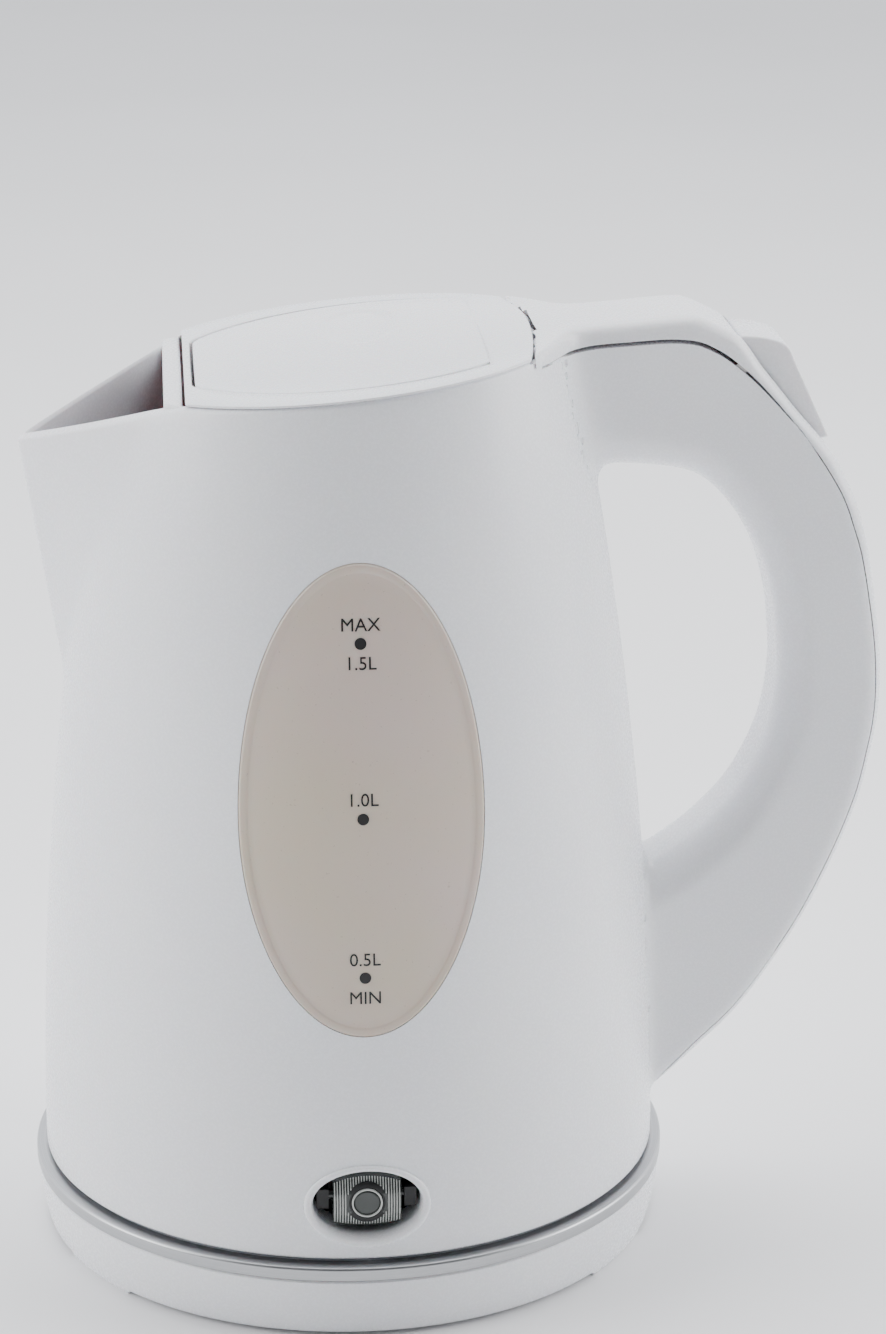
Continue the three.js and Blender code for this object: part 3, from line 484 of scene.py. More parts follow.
def prism(name: str, outline: Points, axis: str, low: float, high: float, lift: float = 0.0) -> bpy.types.Object:
    """A straight prism of a closed outline.

    Args:
        name: the object's name.
        outline: the outline's two coordinates, in the order of the two other axes.
        axis: the letter of the axis it runs along.
        low: where it starts on that axis.
        high: where it ends.
        lift: height added, in millimetres.

    Returns:
        The object.
    """
    flat = np.asarray(outline, float)
    count = len(flat)
    order = {"x": (2, 0, 1), "y": (0, 2, 1), "z": (0, 1, 2)}[axis]
    both = np.vstack([np.column_stack([flat, np.full(count, low)]), np.column_stack([flat, np.full(count, high)])])
    place = both[:, order]
    faces = [(i, (i + 1) % count, (i + 1) % count + count, i + count) for i in range(count)]
    faces += [tuple(range(count)), tuple(range(2 * count - 1, count - 1, -1))]
    made = make_piece(name, place, faces, lift)
    work = bmesh.new()
    work.from_mesh(made.data)
    bmesh.ops.recalc_face_normals(work, faces=work.faces)
    work.to_mesh(made.data)
    work.free()
    return made


def slab(name: str, low: Sequence[float], high: Sequence[float], lift: float = 0.0) -> bpy.types.Object:
    """A block between two corners.

    Args:
        name: the object's name.
        low: lowest corner.
        high: highest corner.
        lift: height added, in millimetres.

    Returns:
        The object.
    """
    outline = [(low[0], low[1]), (high[0], low[1]), (high[0], high[1]), (low[0], high[1])]
    return prism(name, outline, "z", low[2], high[2], lift)


def swept(
    name: str,
    sections: np.ndarray,
    closed_path: bool,
    lift: float = 0.0,
    sharp: float = 32.0,
) -> bpy.types.Object:
    """A skin over a run of closed sections with the same number of points.

    Args:
        name: the object's name.
        sections: S by N by 3 places.
        closed_path: the last section joins the first.
        lift: height added, in millimetres.
        sharp: angle for crisp edges, in degrees.

    Returns:
        The object.
    """
    runs, count = sections.shape[:2]
    faces = grid_faces(runs, count, closed_path, True)
    if not closed_path:
        faces += [tuple(range(count))[::-1], tuple(range((runs - 1) * count, runs * count))]
    return make_piece(name, sections, faces, lift, sharp)


def spline(points: Points, count: int) -> np.ndarray:
    """Evenly spaced points on a smooth curve through a few chosen ones.

    Args:
        points: the chosen points.
        count: how many to return.

    Returns:
        count by 2 points.
    """
    given = np.asarray(points, float)
    ends = np.vstack([2 * given[0] - given[1], given, 2 * given[-1] - given[-2]])
    fine = []
    for i in range(1, len(ends) - 2):
        p, q, r, s = ends[i - 1 : i + 3]
        for t in np.linspace(0, 1, 24, endpoint=False):
            square, cube = 2 * p - 5 * q + 4 * r - s, 3 * q - p - 3 * r + s
            fine.append(0.5 * (2 * q + (r - p) * t + square * t**2 + cube * t**3))
    run = np.vstack([fine, given[-1]])
    length = np.concatenate([[0], np.cumsum(np.linalg.norm(np.diff(run, axis=0), axis=1))])
    at = np.linspace(0, length[-1], count)
    return np.column_stack([np.interp(at, length, run[:, i]) for i in (0, 1)])


def normals_of(run: np.ndarray) -> np.ndarray:
    """Unit vectors to the right of a run of points, as it is followed.

    Args:
        run: N by 2 points.

    Returns:
        N by 2 vectors.
    """
    along = np.gradient(run, axis=0)
    along /= np.linalg.norm(along, axis=1)[:, None]
    return np.column_stack([along[:, 1], -along[:, 0]])


def tilt(points: np.ndarray) -> np.ndarray:
    """Places from the lid's sloping plane to the jug's frame.

    Args:
        points: N by 3 places along, across and square to the plane.

    Returns:
        N by 3 places in the jug's frame.
    """
    u, v, w = points[..., 0], points[..., 1], points[..., 2]
    c, s = math.cos(LEAN), math.sin(LEAN)
    return np.stack([u * c - w * s, v, EDGE_PLANE + u * s + w * c], axis=-1)


def place_tilted(piece: bpy.types.Object) -> None:
    """Moves a piece's mesh from the lid's own plane to the frame.

    Args:
        piece: the object, made in the lid's plane.
    """
    place = np.empty(len(piece.data.vertices) * 3)
    piece.data.vertices.foreach_get("co", place)
    moved = (tilt(place.reshape(-1, 3) / MM) + [0, 0, SEAT]) * MM
    piece.data.vertices.foreach_set("co", moved.ravel())
    piece.data.update()


def mirrored(piece: bpy.types.Object) -> None:
    """Adds a copy of a piece's mesh on the other side of the middle plane.

    Args:
        piece: the object.
    """
    work = bmesh.new()
    work.from_mesh(piece.data)
    made = bmesh.ops.duplicate(work, geom=work.verts[:] + work.edges[:] + work.faces[:])["geom"]
    for item in made:
        if isinstance(item, bmesh.types.BMVert):
            item.co.y = -item.co.y
    bmesh.ops.reverse_faces(work, faces=[f for f in made if isinstance(f, bmesh.types.BMFace)])
    work.to_mesh(piece.data)
    work.free()


def ease(t: np.ndarray) -> np.ndarray:
    """A smooth step from 0 to 1."""
    t = np.clip(t, 0, 1)
    return t * t * (3 - 2 * t)


def finish_piece(piece: bpy.types.Object, finish: Any, slot: str, body: str, *nodes: str) -> bpy.types.Object:
    """Gives a piece its material and its place in the frame.

    Args:
        piece: the object.
        finish: a Plastic or a Metal.
        slot: the record's material slot; not used.
        body: the CAD body it moves with.
        nodes: CAD nodes it stands for.

    Returns:
        The same object.
    """
    piece.data.materials.clear()
    piece.data.materials.append(finish.material())
    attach(piece, body)
    if nodes:
        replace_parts(piece, *nodes)
    log.info("%s: %d faces on %s", piece.name, len(piece.data.polygons), body)
    return piece


# ------------------------------------------------------------------ the jug's form


@dataclass
class JugForm:
    """The round jug and the V of its spout, as radii that other pieces can ask for."""

    foot: float = 74.2
    top: float = 53.3
    tall: float = 192.6
    power: float = 1.92
    wall: float = 2.5
    keel_low: tuple[float, float] = (66.2, 118.4)
    keel_lean: float = 0.1575
    keel_round: float = 3.4
    creases: tuple[tuple[float, float, float], ...] = (
        (124.3, 64.9, 4.7), (132.5, 63.0, 11.2), (151.4, 57.4, 20.8), (168.8, 51.0, 27.3),
        (179.5, 46.0, 31.8), (188.3, 41.7, 34.6),
    )
    blend: float = 1.0

    def radius(self, z: np.ndarray) -> np.ndarray:
        """Outside radius of the round part at a height."""
        return self.foot - (self.foot - self.top) * (np.maximum(z, 0) / self.tall) ** self.power

    def keel(self, z: np.ndarray) -> np.ndarray:
        """Distance of the spout's front edge from the axis at a height."""
        return self.keel_low[0] + self.keel_lean * (z - self.keel_low[1])

    def half_angle(self, z: np.ndarray) -> np.ndarray:
        """Angle between a side of the spout and its middle line, so that it meets the body at its crease.

        Args:
            z: heights.

        Returns:
            Angles in radians.
        """
        heights = np.array([c[0] for c in self.creases])
        out = []
        for height, x, y in self.creases:
            d = float(self.keel(height)) - self.keel_round - x
            out.append(math.acos(self.keel_round / math.hypot(y, d)) - math.atan2(d, y))
        fit = np.polyfit(heights, out, 2)
        return np.polyval(fit, np.clip(z, 118.0, 190.0))

    def spout_radius(self, phi: np.ndarray, z: np.ndarray, inset: float) -> np.ndarray:
        """Distance of the spout's side from the axis in a direction.

        Args:
            phi: angle from the spout's middle line.
            z: heights.
            inset: how far inside the outer face.

        Returns:
            Radii.
        """
        phi = np.abs(phi)
        angle = self.half_angle(z)
        centre = self.keel(z) - self.keel_round
        round_ = self.keel_round - inset
        turn = np.arctan2(round_ * np.cos(angle), centre + round_ * np.sin(angle))
        flat = math.pi / 2 - angle
        reach = (round_ + centre * np.sin(angle)) / np.sin(np.minimum(phi, flat) + angle)
        reach = reach - 40.0 * np.maximum(phi - flat, 0) ** 2
        nose = centre * np.cos(phi) + np.sqrt(np.maximum(round_**2 - (centre * np.sin(phi)) ** 2, 0))
        return np.where(phi < turn, nose, reach)

    def reach(self, phi: np.ndarray, z: np.ndarray, inset: float = 0.0) -> np.ndarray:
        """Distance of the jug's face from the axis, body and spout together.

        Args:
            phi: angle from the spout's middle line.
            z: heights.
            inset: how far inside the outer face.

        Returns:
            Radii.
        """
        body = self.radius(z) - inset
        beak = self.spout_radius(phi, z, inset)
        lap = np.maximum(self.blend - np.abs(body - beak), 0)
        return np.maximum(body, beak) + lap**2 / (4 * self.blend)

    def distance(self, at: np.ndarray) -> np.ndarray:
        """Signed distance from the round part's outer face.

        Args:
            at: N by 3 places.

        Returns:
            N distances.
        """
        z = at[:, 2]
        lean = (self.foot - self.top) / self.tall * self.power * (np.maximum(z, 0) / self.tall) ** (self.power - 1)
        return (np.hypot(at[:, 0], at[:, 1]) - self.radius(z)) / np.sqrt(1 + lean**2)


FORM = JugForm()


def on_body(x: np.ndarray, z: np.ndarray, out: float) -> np.ndarray:
    """Places on the jug's -Y side.

    Args:
        x: places along X.
        z: heights.
        out: distance outside the jug's face.

    Returns:
        N by 3 places.
    """
    return np.stack([x, -np.sqrt((FORM.radius(z) + out) ** 2 - x**2), z + 0 * x], axis=-1)


@dataclass
class JugShell:
    """The moulded jug: round wall, spout, and the shelf behind the spout."""

    seam: float = 193.85
    rim: tuple[float, float] = (205.15, 0.404)
    rim_round: float = 0.95
    floor: float = 34.0
    shelf: tuple[float, float] = (-41.3, -37.15)
    under_cover: float = 195.5
    under_tongue: float = 197.15
    rows: int = 92
    inner_rows: int = 30

    def top(self, x: np.ndarray) -> np.ndarray:
        """Height of the wall's edge.

        Args:
            x: places along X.

        Returns:
            Heights.
        """
        a, b = self.seam + 0.1 * x, self.rim[0] + self.rim[1] * x
        lap = np.maximum(1.2 - np.abs(a - b), 0)
        return np.minimum(a, b) - lap**2 / 4.8

    def build(self) -> bpy.types.Object:
        """Builds the wall and the spout as one closed skin, then cuts its openings.

        Returns:
            The jug.
        """
        beak = np.radians(np.linspace(-66, 66, 265))
        back = np.radians(np.linspace(66, 294, 191)[1:-1])
        phi = np.concatenate([beak, back])
        fold = (phi + math.pi) % (2 * math.pi) - math.pi
        away = np.stack([-np.cos(phi), np.sin(phi)], axis=1)

        def edge(inset: float) -> np.ndarray:
            """The rim's height round the jug.

            Args:
                inset: how far inside the outer face.

            Returns:
                A height for each angle.
            """
            height = np.full(len(phi), 185.0)
            for _ in range(30):
                height = 0.5 * height + 0.5 * self.top(-FORM.reach(fold, height, inset) * np.cos(phi))
            return height

        def ring(inset: float, height: np.ndarray) -> np.ndarray:
            """One row of places round the jug, by inset and heights."""
            far = FORM.reach(fold, height, inset)
            return np.column_stack([away * far[:, None], height])

        rows = [ring(0.5, np.zeros(len(phi))), ring(0.0, np.full(len(phi), 0.5))]
        outside, inside = edge(0.0), edge(FORM.wall)
        shares = np.linspace(0, 1, self.rows)[1:]
        r = self.rim_round
        rows += [ring(0.0, 0.5 + (outside - r - 0.5) * s) for s in shares]
        for turn in (0.35, 0.8, 1.25):
            rows.append(ring(r * (1 - math.cos(turn)), outside - r * (1 - math.sin(turn))))
        for turn in (1.25, 0.8, 0.35):
            rows.append(ring(FORM.wall - r * (1 - math.cos(turn)), inside - r * (1 - math.sin(turn))))
        rows += [ring(FORM.wall, 1 + (inside - r - 1) * s) for s in np.linspace(1, 0, self.inner_rows)]
        rows.append(ring(FORM.wall, np.zeros(len(phi))))
        jug = make_piece("jug_wall", np.stack(rows), grid_faces(len(rows), len(phi), True, True), SEAT)
        pane, eye = WaterWindow(), RockerSwitch()
        carve(jug, [
            prism("cut_pane", pane.outline(0.06), "y", -100, -30, SEAT),
            prism("cut_eye", eye.oval(*eye.bezel, 0.06), "y", -100, -50, SEAT),
            slab("cut_cover", (42.8, -36, self.under_cover), (70, 36, 220), SEAT),
            slab("cut_tongue", (39.8, -36, self.under_tongue), (43, 36, 220), SEAT),
            slab("cut_rod", (44, -4.2, 188.1), (72, 4.2, 200), SEAT),
        ])
        return finish_piece(jug, WHITE, "white_gloss", "kettle", "jug_shell")

    def build_shelf(self) -> bpy.types.Object:
        """Builds the shelf between the spout and the frame.

        Returns:
            The shelf.
        """
        near, far = self.shelf
        inside = float(FORM.radius(189.0)) - 1.2
        ends = [(x, math.sqrt(inside**2 - x**2)) for x in (near, far)]
        outline = [(near, -ends[0][1]), (far, -ends[1][1]), (far, ends[1][1]), (near, ends[0][1])]
        shelf = prism("jug_shelf", outline, "z", 181, 189.9, SEAT)
        return finish_piece(bevelled(shelf, 0.7), WHITE, "white_gloss", "kettle")


@dataclass
class WaterWindow:
    """The egg-shaped level window with its printed marks."""

    centre: float = 102.8
    up: float = 57.1
    down: float = 48.9
    half: float = 27.3
    proud: float = 0.25
    thick: float = 2.2
    marks: tuple[tuple[str, float], ...] = (
        ("MAX", 146.7), ("1.5L", 138.3), ("1.0L", 108.2), ("0.5L", 72.0), ("MIN", 63.2),
    )
    dots: tuple[float, ...] = (142.5, 103.8, 67.7)
    letter: float = 4.1
    dot: float = 1.3

    def outline(self, grow: float, count: int = 144) -> np.ndarray:
        """The egg in X and Z.

        Args:
            grow: distance outside the pane's edge.
            count: points round it.

        Returns:
            count by 2 points.
        """
        turn = np.arange(count) * 2 * math.pi / count
        tall = np.where(np.sin(turn) > 0, self.up, self.down) + grow
        return np.column_stack([(self.half + grow) * np.cos(turn), self.centre + tall * np.sin(turn)])

    def build(self) -> bpy.types.Object:
        """Builds the pane with its raised, rounded rim.

        Returns:
            The pane.
        """
        egg = self.outline(0.0)
        middle = np.array([0.0, self.centre])
        rows = []
        for grow, out in ((0, -self.thick), (0, -0.35), (-0.12, -0.05), (-0.4, self.proud), (-1.6, self.proud),
                          (-1.95, 0.1), (-2.3, 0.02)):
            ring = self.outline(grow)
            rows.append(on_body(ring[:, 0], ring[:, 1], out))
        last = self.outline(-2.3)
        for share in np.linspace(1, 0, 26)[1:]:
            ring = middle + (last - middle) * share
            rows.append(on_body(ring[:, 0], ring[:, 1], 0.02))
        for share in np.linspace(0, 1, 14)[:-1]:
            ring = middle + (egg - middle) * share
            rows.append(on_body(ring[:, 0], ring[:, 1], -self.thick))
        pane = make_piece("level_window", np.stack(rows), grid_faces(len(rows), len(egg), True, True), SEAT)
        return finish_piece(pane, SMOKED, "smoked_clear", "kettle", "water_window")

    def build_marks(self) -> bpy.types.Object:
        """Builds the level marks as a thin printed film.

        Returns:
            The marks.
        """
        points: list[np.ndarray] = []
        faces: list[tuple[int, ...]] = []
        for text, height in self.marks:
            curve = bpy.data.curves.new(f"mark_{text}", "FONT")
            curve.body = text
            curve.size = self.letter
            curve.align_x = "CENTER"
            curve.extrude = 0.04
            curve.resolution_u = 4
            holder = bpy.data.objects.new(f"mark_{text}", curve)
            bpy.context.scene.collection.objects.link(holder)
            bpy.context.view_layer.update()
            flat = bpy.data.meshes.new_from_object(holder.evaluated_get(bpy.context.evaluated_depsgraph_get()))
            place = np.array([v.co for v in flat.vertices])
            start = sum(len(p) for p in points)
            faces += [tuple(i + start for i in f.vertices) for f in flat.polygons]
            spot = np.stack([place[:, 0], place[:, 1] + height - self.letter * 0.36, place[:, 2]], axis=1)
            around = on_body(spot[:, 0], spot[:, 1], 0.0)
            around[:, 1] -= 0.08 + spot[:, 2]
            points.append(around)
            bpy.data.objects.remove(holder)
        turn = np.arange(40) * 2 * math.pi / 40
        for height in self.dots:
            start = sum(len(p) for p in points)
            for out in (0.04, 0.12):
                ring = on_body(self.dot * np.cos(turn), height + self.dot * np.sin(turn), 0.0)
                ring[:, 1] -= out
                points.append(ring)
            after = [(i + 1) % 40 for i in range(40)]
            faces += [(start + i, start + n, start + 40 + n, start + 40 + i) for i, n in enumerate(after)]
            faces += [tuple(range(start + 39, start - 1, -1)), tuple(range(start + 40, start + 80))]
        film = make_piece("level_marks", np.vstack(points), faces, SEAT, merge=0.0005)
        work = bmesh.new()
        work.from_mesh(film.data)
        bmesh.ops.recalc_face_normals(work, faces=work.faces)
        work.to_mesh(film.data)
        work.free()
        return finish_piece(film, INK, "black_plastic", "kettle")


# ------------------------------------------------------------------ lid and frame


@dataclass
class LidPlan:
    """The lid's outline and dome, shared by the lid, its frame and the handle's cover."""

    centre: float = 3.2
    radius: float = 44.2
    front: float = -34.4
    corner: float = 5.0
    shoulder: float = 31.0
    back: float = 43.2
    bow: float = 3.2
    bow_half: float = 35.0
    crown: float = 4.9
    crown_centre: float = 6.0
    crown_radius: float = 183.0
    axis: tuple[float, float] = (41.0, -3.0)

    def dome(self, u: np.ndarray, v: np.ndarray) -> np.ndarray:
        """Height of the lid's outside above its edge plane."""
        high = self.crown - ((u - self.crown_centre) ** 2 + v**2) / (2 * self.crown_radius)
        return np.logaddexp(high / 0.45, -0.25 / 0.45) * 0.45

    def front_run(self, grow: float, count: int = 150) -> np.ndarray:
        """The round lid's outline from the +Y shoulder round the front to the -Y shoulder.

        Args:
            grow: distance outside the lid's edge.
            count: points in the run.

        Returns:
            count by 2 points.
        """
        radius, front = self.radius + grow, self.front - grow
        half = math.sqrt(radius**2 - (front - self.centre) ** 2)
        start = math.acos((self.shoulder - self.centre) / radius)
        end = math.atan2(half, front - self.centre)
        arc = [(self.centre + radius * math.cos(a), radius * math.sin(a)) for a in np.linspace(start, end, 90)]
        side = np.array(arc)
        corner = rounded([(*side[-12], 0.0), (front, half, self.corner), (front, 0.0, 0.0)], 10)[1:-1]
        keep = side[np.hypot(side[:, 0] - corner[0, 0], side[:, 1] - corner[0, 1]) > 0.4]
        keep = keep[keep[:, 0] > corner[0, 0]]
        one = np.vstack([keep, corner, [(front, 0.0)]])
        other = one[::-1][1:] * [1, -1]
        run = np.vstack([one, other])
        length = np.concatenate([[0], np.cumsum(np.linalg.norm(np.diff(run, axis=0), axis=1))])
        at = np.linspace(0, length[-1], count)
        return np.column_stack([np.interp(at, length, run[:, i]) for i in (0, 1)])

    def rear_edge(self, v: np.ndarray, grow: float = 0.0) -> np.ndarray:
        """Where the tongue's bowed rear edge lies at a place across the lid."""
        return self.back + grow - self.bow * (v / self.bow_half) ** 2


PLAN = LidPlan()


@dataclass
class Lid:
    """The domed lid with its rear tongue, its tray and its seal."""

    tongue_radius: float = 53.0
    edge: float = 0.55
    under: float = -0.8
    recess: tuple[float, float, float, float] = (4.0, 17.0, 8.5, 0.7)

    def outline(self) -> np.ndarray:
        """The lid's plan in its own plane, front run and tongue in one closed loop.

        Returns:
            N by 2 points.
        """
        front = PLAN.front_run(0.0, 190)
        side = math.sqrt(self.tongue_radius**2 - PLAN.shoulder**2)
        start = math.atan2(side, PLAN.shoulder)
        rim = []
        for a in np.linspace(start, 0.3, 120):
            u, v = self.tongue_radius * math.cos(a), self.tongue_radius * math.sin(a)
            if u > PLAN.rear_edge(v):
                break
            rim.append((u, v))
        corner_v = rim[-1][1]
        rear = [(float(PLAN.rear_edge(v)), v) for v in np.linspace(corner_v, -corner_v, 60)[1:-1]]
        far = np.array(rim)
        step = [(PLAN.shoulder, v) for v in np.linspace(front[0, 1], far[0, 1], 8)[1:-1]]
        half = np.vstack([step, far])
        mirrored = half[::-1] * [1, -1]
        loop = np.vstack([front[::-1], half, rear, mirrored])
        return loop

    def height(self, u: np.ndarray, v: np.ndarray) -> np.ndarray:
        """Height of the outside with its shallow oval recess.

        Args:
            u: places along the lid.
            v: places across it.

        Returns:
            Heights above the edge plane.
        """
        cu, half_v, half_u, deep = self.recess
        oval = np.sqrt(((u - cu) / half_u) ** 2 + (v / half_v) ** 2)
        return PLAN.dome(u, v) - deep * ease((1.08 - oval) / 0.2)

    def build(self) -> bpy.types.Object:
        """Builds the lid's outer moulding.

        Returns:
            The lid.
        """
        loop = self.outline()
        out = -normals_of(np.vstack([loop[-1], loop, loop[0]]))[1:-1]
        middle = np.array([PLAN.shoulder - 0.4, 0.0])
        if float(((loop - middle) * out).sum()) < 0:
            out = -out
        rows = []

        def ring(inset: float, drop: Optional[float], level: Optional[float] = None) -> None:
            """Adds one row of the shell.

            Args:
                inset: how far inside the outline.
                drop: how far below the dome.
                level: a fixed height, which replaces the dome's.
            """
            flat = loop - out * inset
            w = self.height(flat[:, 0], flat[:, 1]) - (drop or 0.0) if level is None else np.full(len(flat), level)
            rows.append(np.column_stack([flat, w]))

        ring(0.3, None, self.under)
        e = self.edge
        for turn in (0.0, 0.4, 0.8, 1.2, 1.57):
            ring(e * (1 - math.cos(turn)), e * (1 - math.sin(turn)))
        base_flat = loop - out * e
        for share in np.linspace(1, 0, 74)[1:]:
            flat = middle + (base_flat - middle) * share
            rows.append(np.column_stack([flat, self.height(flat[:, 0], flat[:, 1])]))
        for share in (0.0, 0.5):
            flat = middle + (loop - out * 0.3 - middle) * share
            rows.append(np.column_stack([flat, np.full(len(flat), self.under)]))
        lid = make_piece("lid_shell", tilt(np.stack(rows)), grid_faces(len(rows), len(loop), True, True), SEAT)
        return finish_piece(lid, WHITE, "white_gloss", "lid", "lid_top")

    def tray_outline(self, inset: float, back: float) -> np.ndarray:
        """The round lid's plan, moved in and cut off straight at the back."""
        run = PLAN.front_run(-inset, 170)
        return run[run[:, 0] < back]

    def build_tray(self) -> bpy.types.Object:
        """Builds the inner tray under the lid.

        Returns:
            The tray.
        """
        tray = prism("lid_tray", self.tray_outline(3.6, 28.4), "z", -9.0, -3.7)
        bevelled(tray, 1.3, 4)
        carve(tray, [prism("cut_dish", self.tray_outline(5.8, 26.2), "z", -7.0, 2.0)])
        place_tilted(tray)
        return finish_piece(tray, WHITE, "white_gloss", "lid", "lid_inner")

    def build_seal(self) -> bpy.types.Object:
        """Builds the seal that runs round the tray, thinner at its lip.

        Returns:
            The seal.
        """
        loop = self.tray_outline(2.4, 29.0)
        away = normals_of(np.vstack([loop[-1], loop, loop[0]]))[1:-1]
        if float((away * (loop - [PLAN.centre, 0])).sum()) < 0:
            away = -away
        rings = [(-0.85, -7.4), (-0.85, -5.6), (-0.4, -5.4), (0.5, -5.8), (1.15, -6.6), (0.9, -7.1), (0.0, -7.6)]
        sections = np.array([
            [(u + du * r, v + dv * r, w) for r, w in rings] for (u, v), (du, dv) in zip(loop, away)
        ])
        seal = swept("lid_gasket", tilt(sections), True, SEAT)
        return finish_piece(seal, SILICONE, "silicone", "lid", "lid_seal")

    def build_knuckles(self) -> bpy.types.Object:
        """Builds the two barrels that carry the lid on its pin.

        Returns:
            The barrels.
        """
        u, w = PLAN.axis
        turn = np.arange(48) * 2 * math.pi / 48
        barrel = np.column_stack([u + 3.8 * np.cos(turn), w + 3.8 * np.sin(turn)])
        bore = np.column_stack([u + 1.35 * np.cos(turn), w + 1.35 * np.sin(turn)])
        knuckles = prism("lid_knuckles", barrel, "y", 4.6, 12.0)
        carve(knuckles, [
            slab("join_web", (u - 7, 4.6, w), (u + 1.5, 12.0, -0.3)),
            slab("join_heel", (u - 1.6, 4.6, w - 4.8), (u + 1.6, 12.0, w)),
        ], "UNION")
        carve(knuckles, [prism("cut_pin", bore, "y", -20, 20)])
        mirrored(knuckles)
        place_tilted(knuckles)
        return finish_piece(knuckles, WHITE, "white_gloss", "lid")


@dataclass
class TopFrame:
    """The collar that the lid closes on."""

    gap: float = 0.7
    outer: float = 53.3
    front: float = -36.8
    rim: tuple[float, float] = (-0.25, -0.85)
    deep: float = -11.8
    collar: float = 1.6

    def build(self) -> bpy.types.Object:
        """Builds the flat band and the collar that hangs from it, as one swept section.

        Returns:
            The frame.
        """
        inner = PLAN.front_run(self.gap, 200)
        away = -normals_of(inner)
        if float((away * (inner - [PLAN.centre, 0])).sum()) < 0:
            away = -away
        high, low = self.rim
        sections = []
        for (u, v), (du, dv) in zip(inner, away):
            reach = self.reach(u, v, du, dv)
            e = 0.35
            collar = min(self.collar, reach - 0.25)
            rings = [
                (0.0, self.deep), (0.0, -e), (0.1, -0.1), (e, 0.0), (reach * 0.5, high * 0.4), (reach - e, high),
                (reach - 0.08, high - 0.12), (reach, high - e), (reach, low), (collar, low - 0.2),
            (collar, self.deep),
            ]
            sections.append([(u + du * r, v + dv * r, w) for r, w in rings])
        frame = swept("top_collar", tilt(np.array(sections)), False, SEAT)
        return finish_piece(frame, WHITE, "white_gloss", "kettle", "top_frame")

    def build_arms(self) -> bpy.types.Object:
        """Builds the two arms that hold the lid's pin.

        Returns:
            The arms.
        """
        u, w = PLAN.axis
        turn = np.linspace(-math.pi / 2, math.pi / 2, 24)
        arm = [(u + 2.4 * math.cos(a), w + 2.4 * math.sin(a)) for a in turn] + [(31.9, w + 2.4), (31.9, w - 2.4)]
        bore = [(u + 1.35 * math.cos(a), w + 1.35 * math.sin(a)) for a in np.arange(36) * math.pi / 18]
        arms = prism("collar_arms", arm, "y", 12.6, 16.0)
        carve(arms, [prism("cut_pin", bore, "y", -20, 20)])
        mirrored(arms)
        place_tilted(arms)
        return finish_piece(arms, WHITE, "white_gloss", "kettle")

    def reach(self, u: float, v: float, du: float, dv: float) -> float:
        """How far the band runs outward from a place on its inner edge.

        Args:
            u: the place along the lid.
            v: the place across it.
            du: outward direction along the lid.
            dv: outward direction across it.

        Returns:
            The distance to the jug's round, or to the straight front.
        """
        dot = u * du + v * dv
        far = -dot + math.sqrt(max(dot**2 - (u * u + v * v - self.outer**2), 0.0))
        if du < -1e-3:
            far = min(far, (self.front - u) / du)
        return max(far, 0.9)


# ------------------------------------------------------------------ handle


def line_distance(at: np.ndarray, run: np.ndarray) -> np.ndarray:
    """Distance from places in a plane to a run of segments.

    Args:
        at: N by 2 places.
        run: M by 2 points.

    Returns:
        N distances.
    """
    best = np.full(len(at), 1e9)
    for a, b in zip(run[:-1], run[1:]):
        ab = b - a
        t = np.clip(((at - a) @ ab) / (ab @ ab), 0, 1)
        best = np.minimum(best, ((at - a - t[:, None] * ab) ** 2).sum(1))
    return np.sqrt(best)


def inside_outline(at: np.ndarray, loop: np.ndarray) -> np.ndarray:
    """Which places lie inside a closed outline.

    Args:
        at: N by 2 places.
        loop: M by 2 points.

    Returns:
        N truth values.
    """
    inside = np.zeros(len(at), bool)
    for a, b in zip(loop, np.roll(loop, -1, axis=0)):
        if a[1] == b[1]:
            continue
        crosses = (a[1] > at[:, 1]) != (b[1] > at[:, 1])
        where = a[0] + (at[:, 1] - a[1]) * (b[0] - a[0]) / (b[1] - a[1])
        inside ^= crosses & (at[:, 0] < where)
    return inside


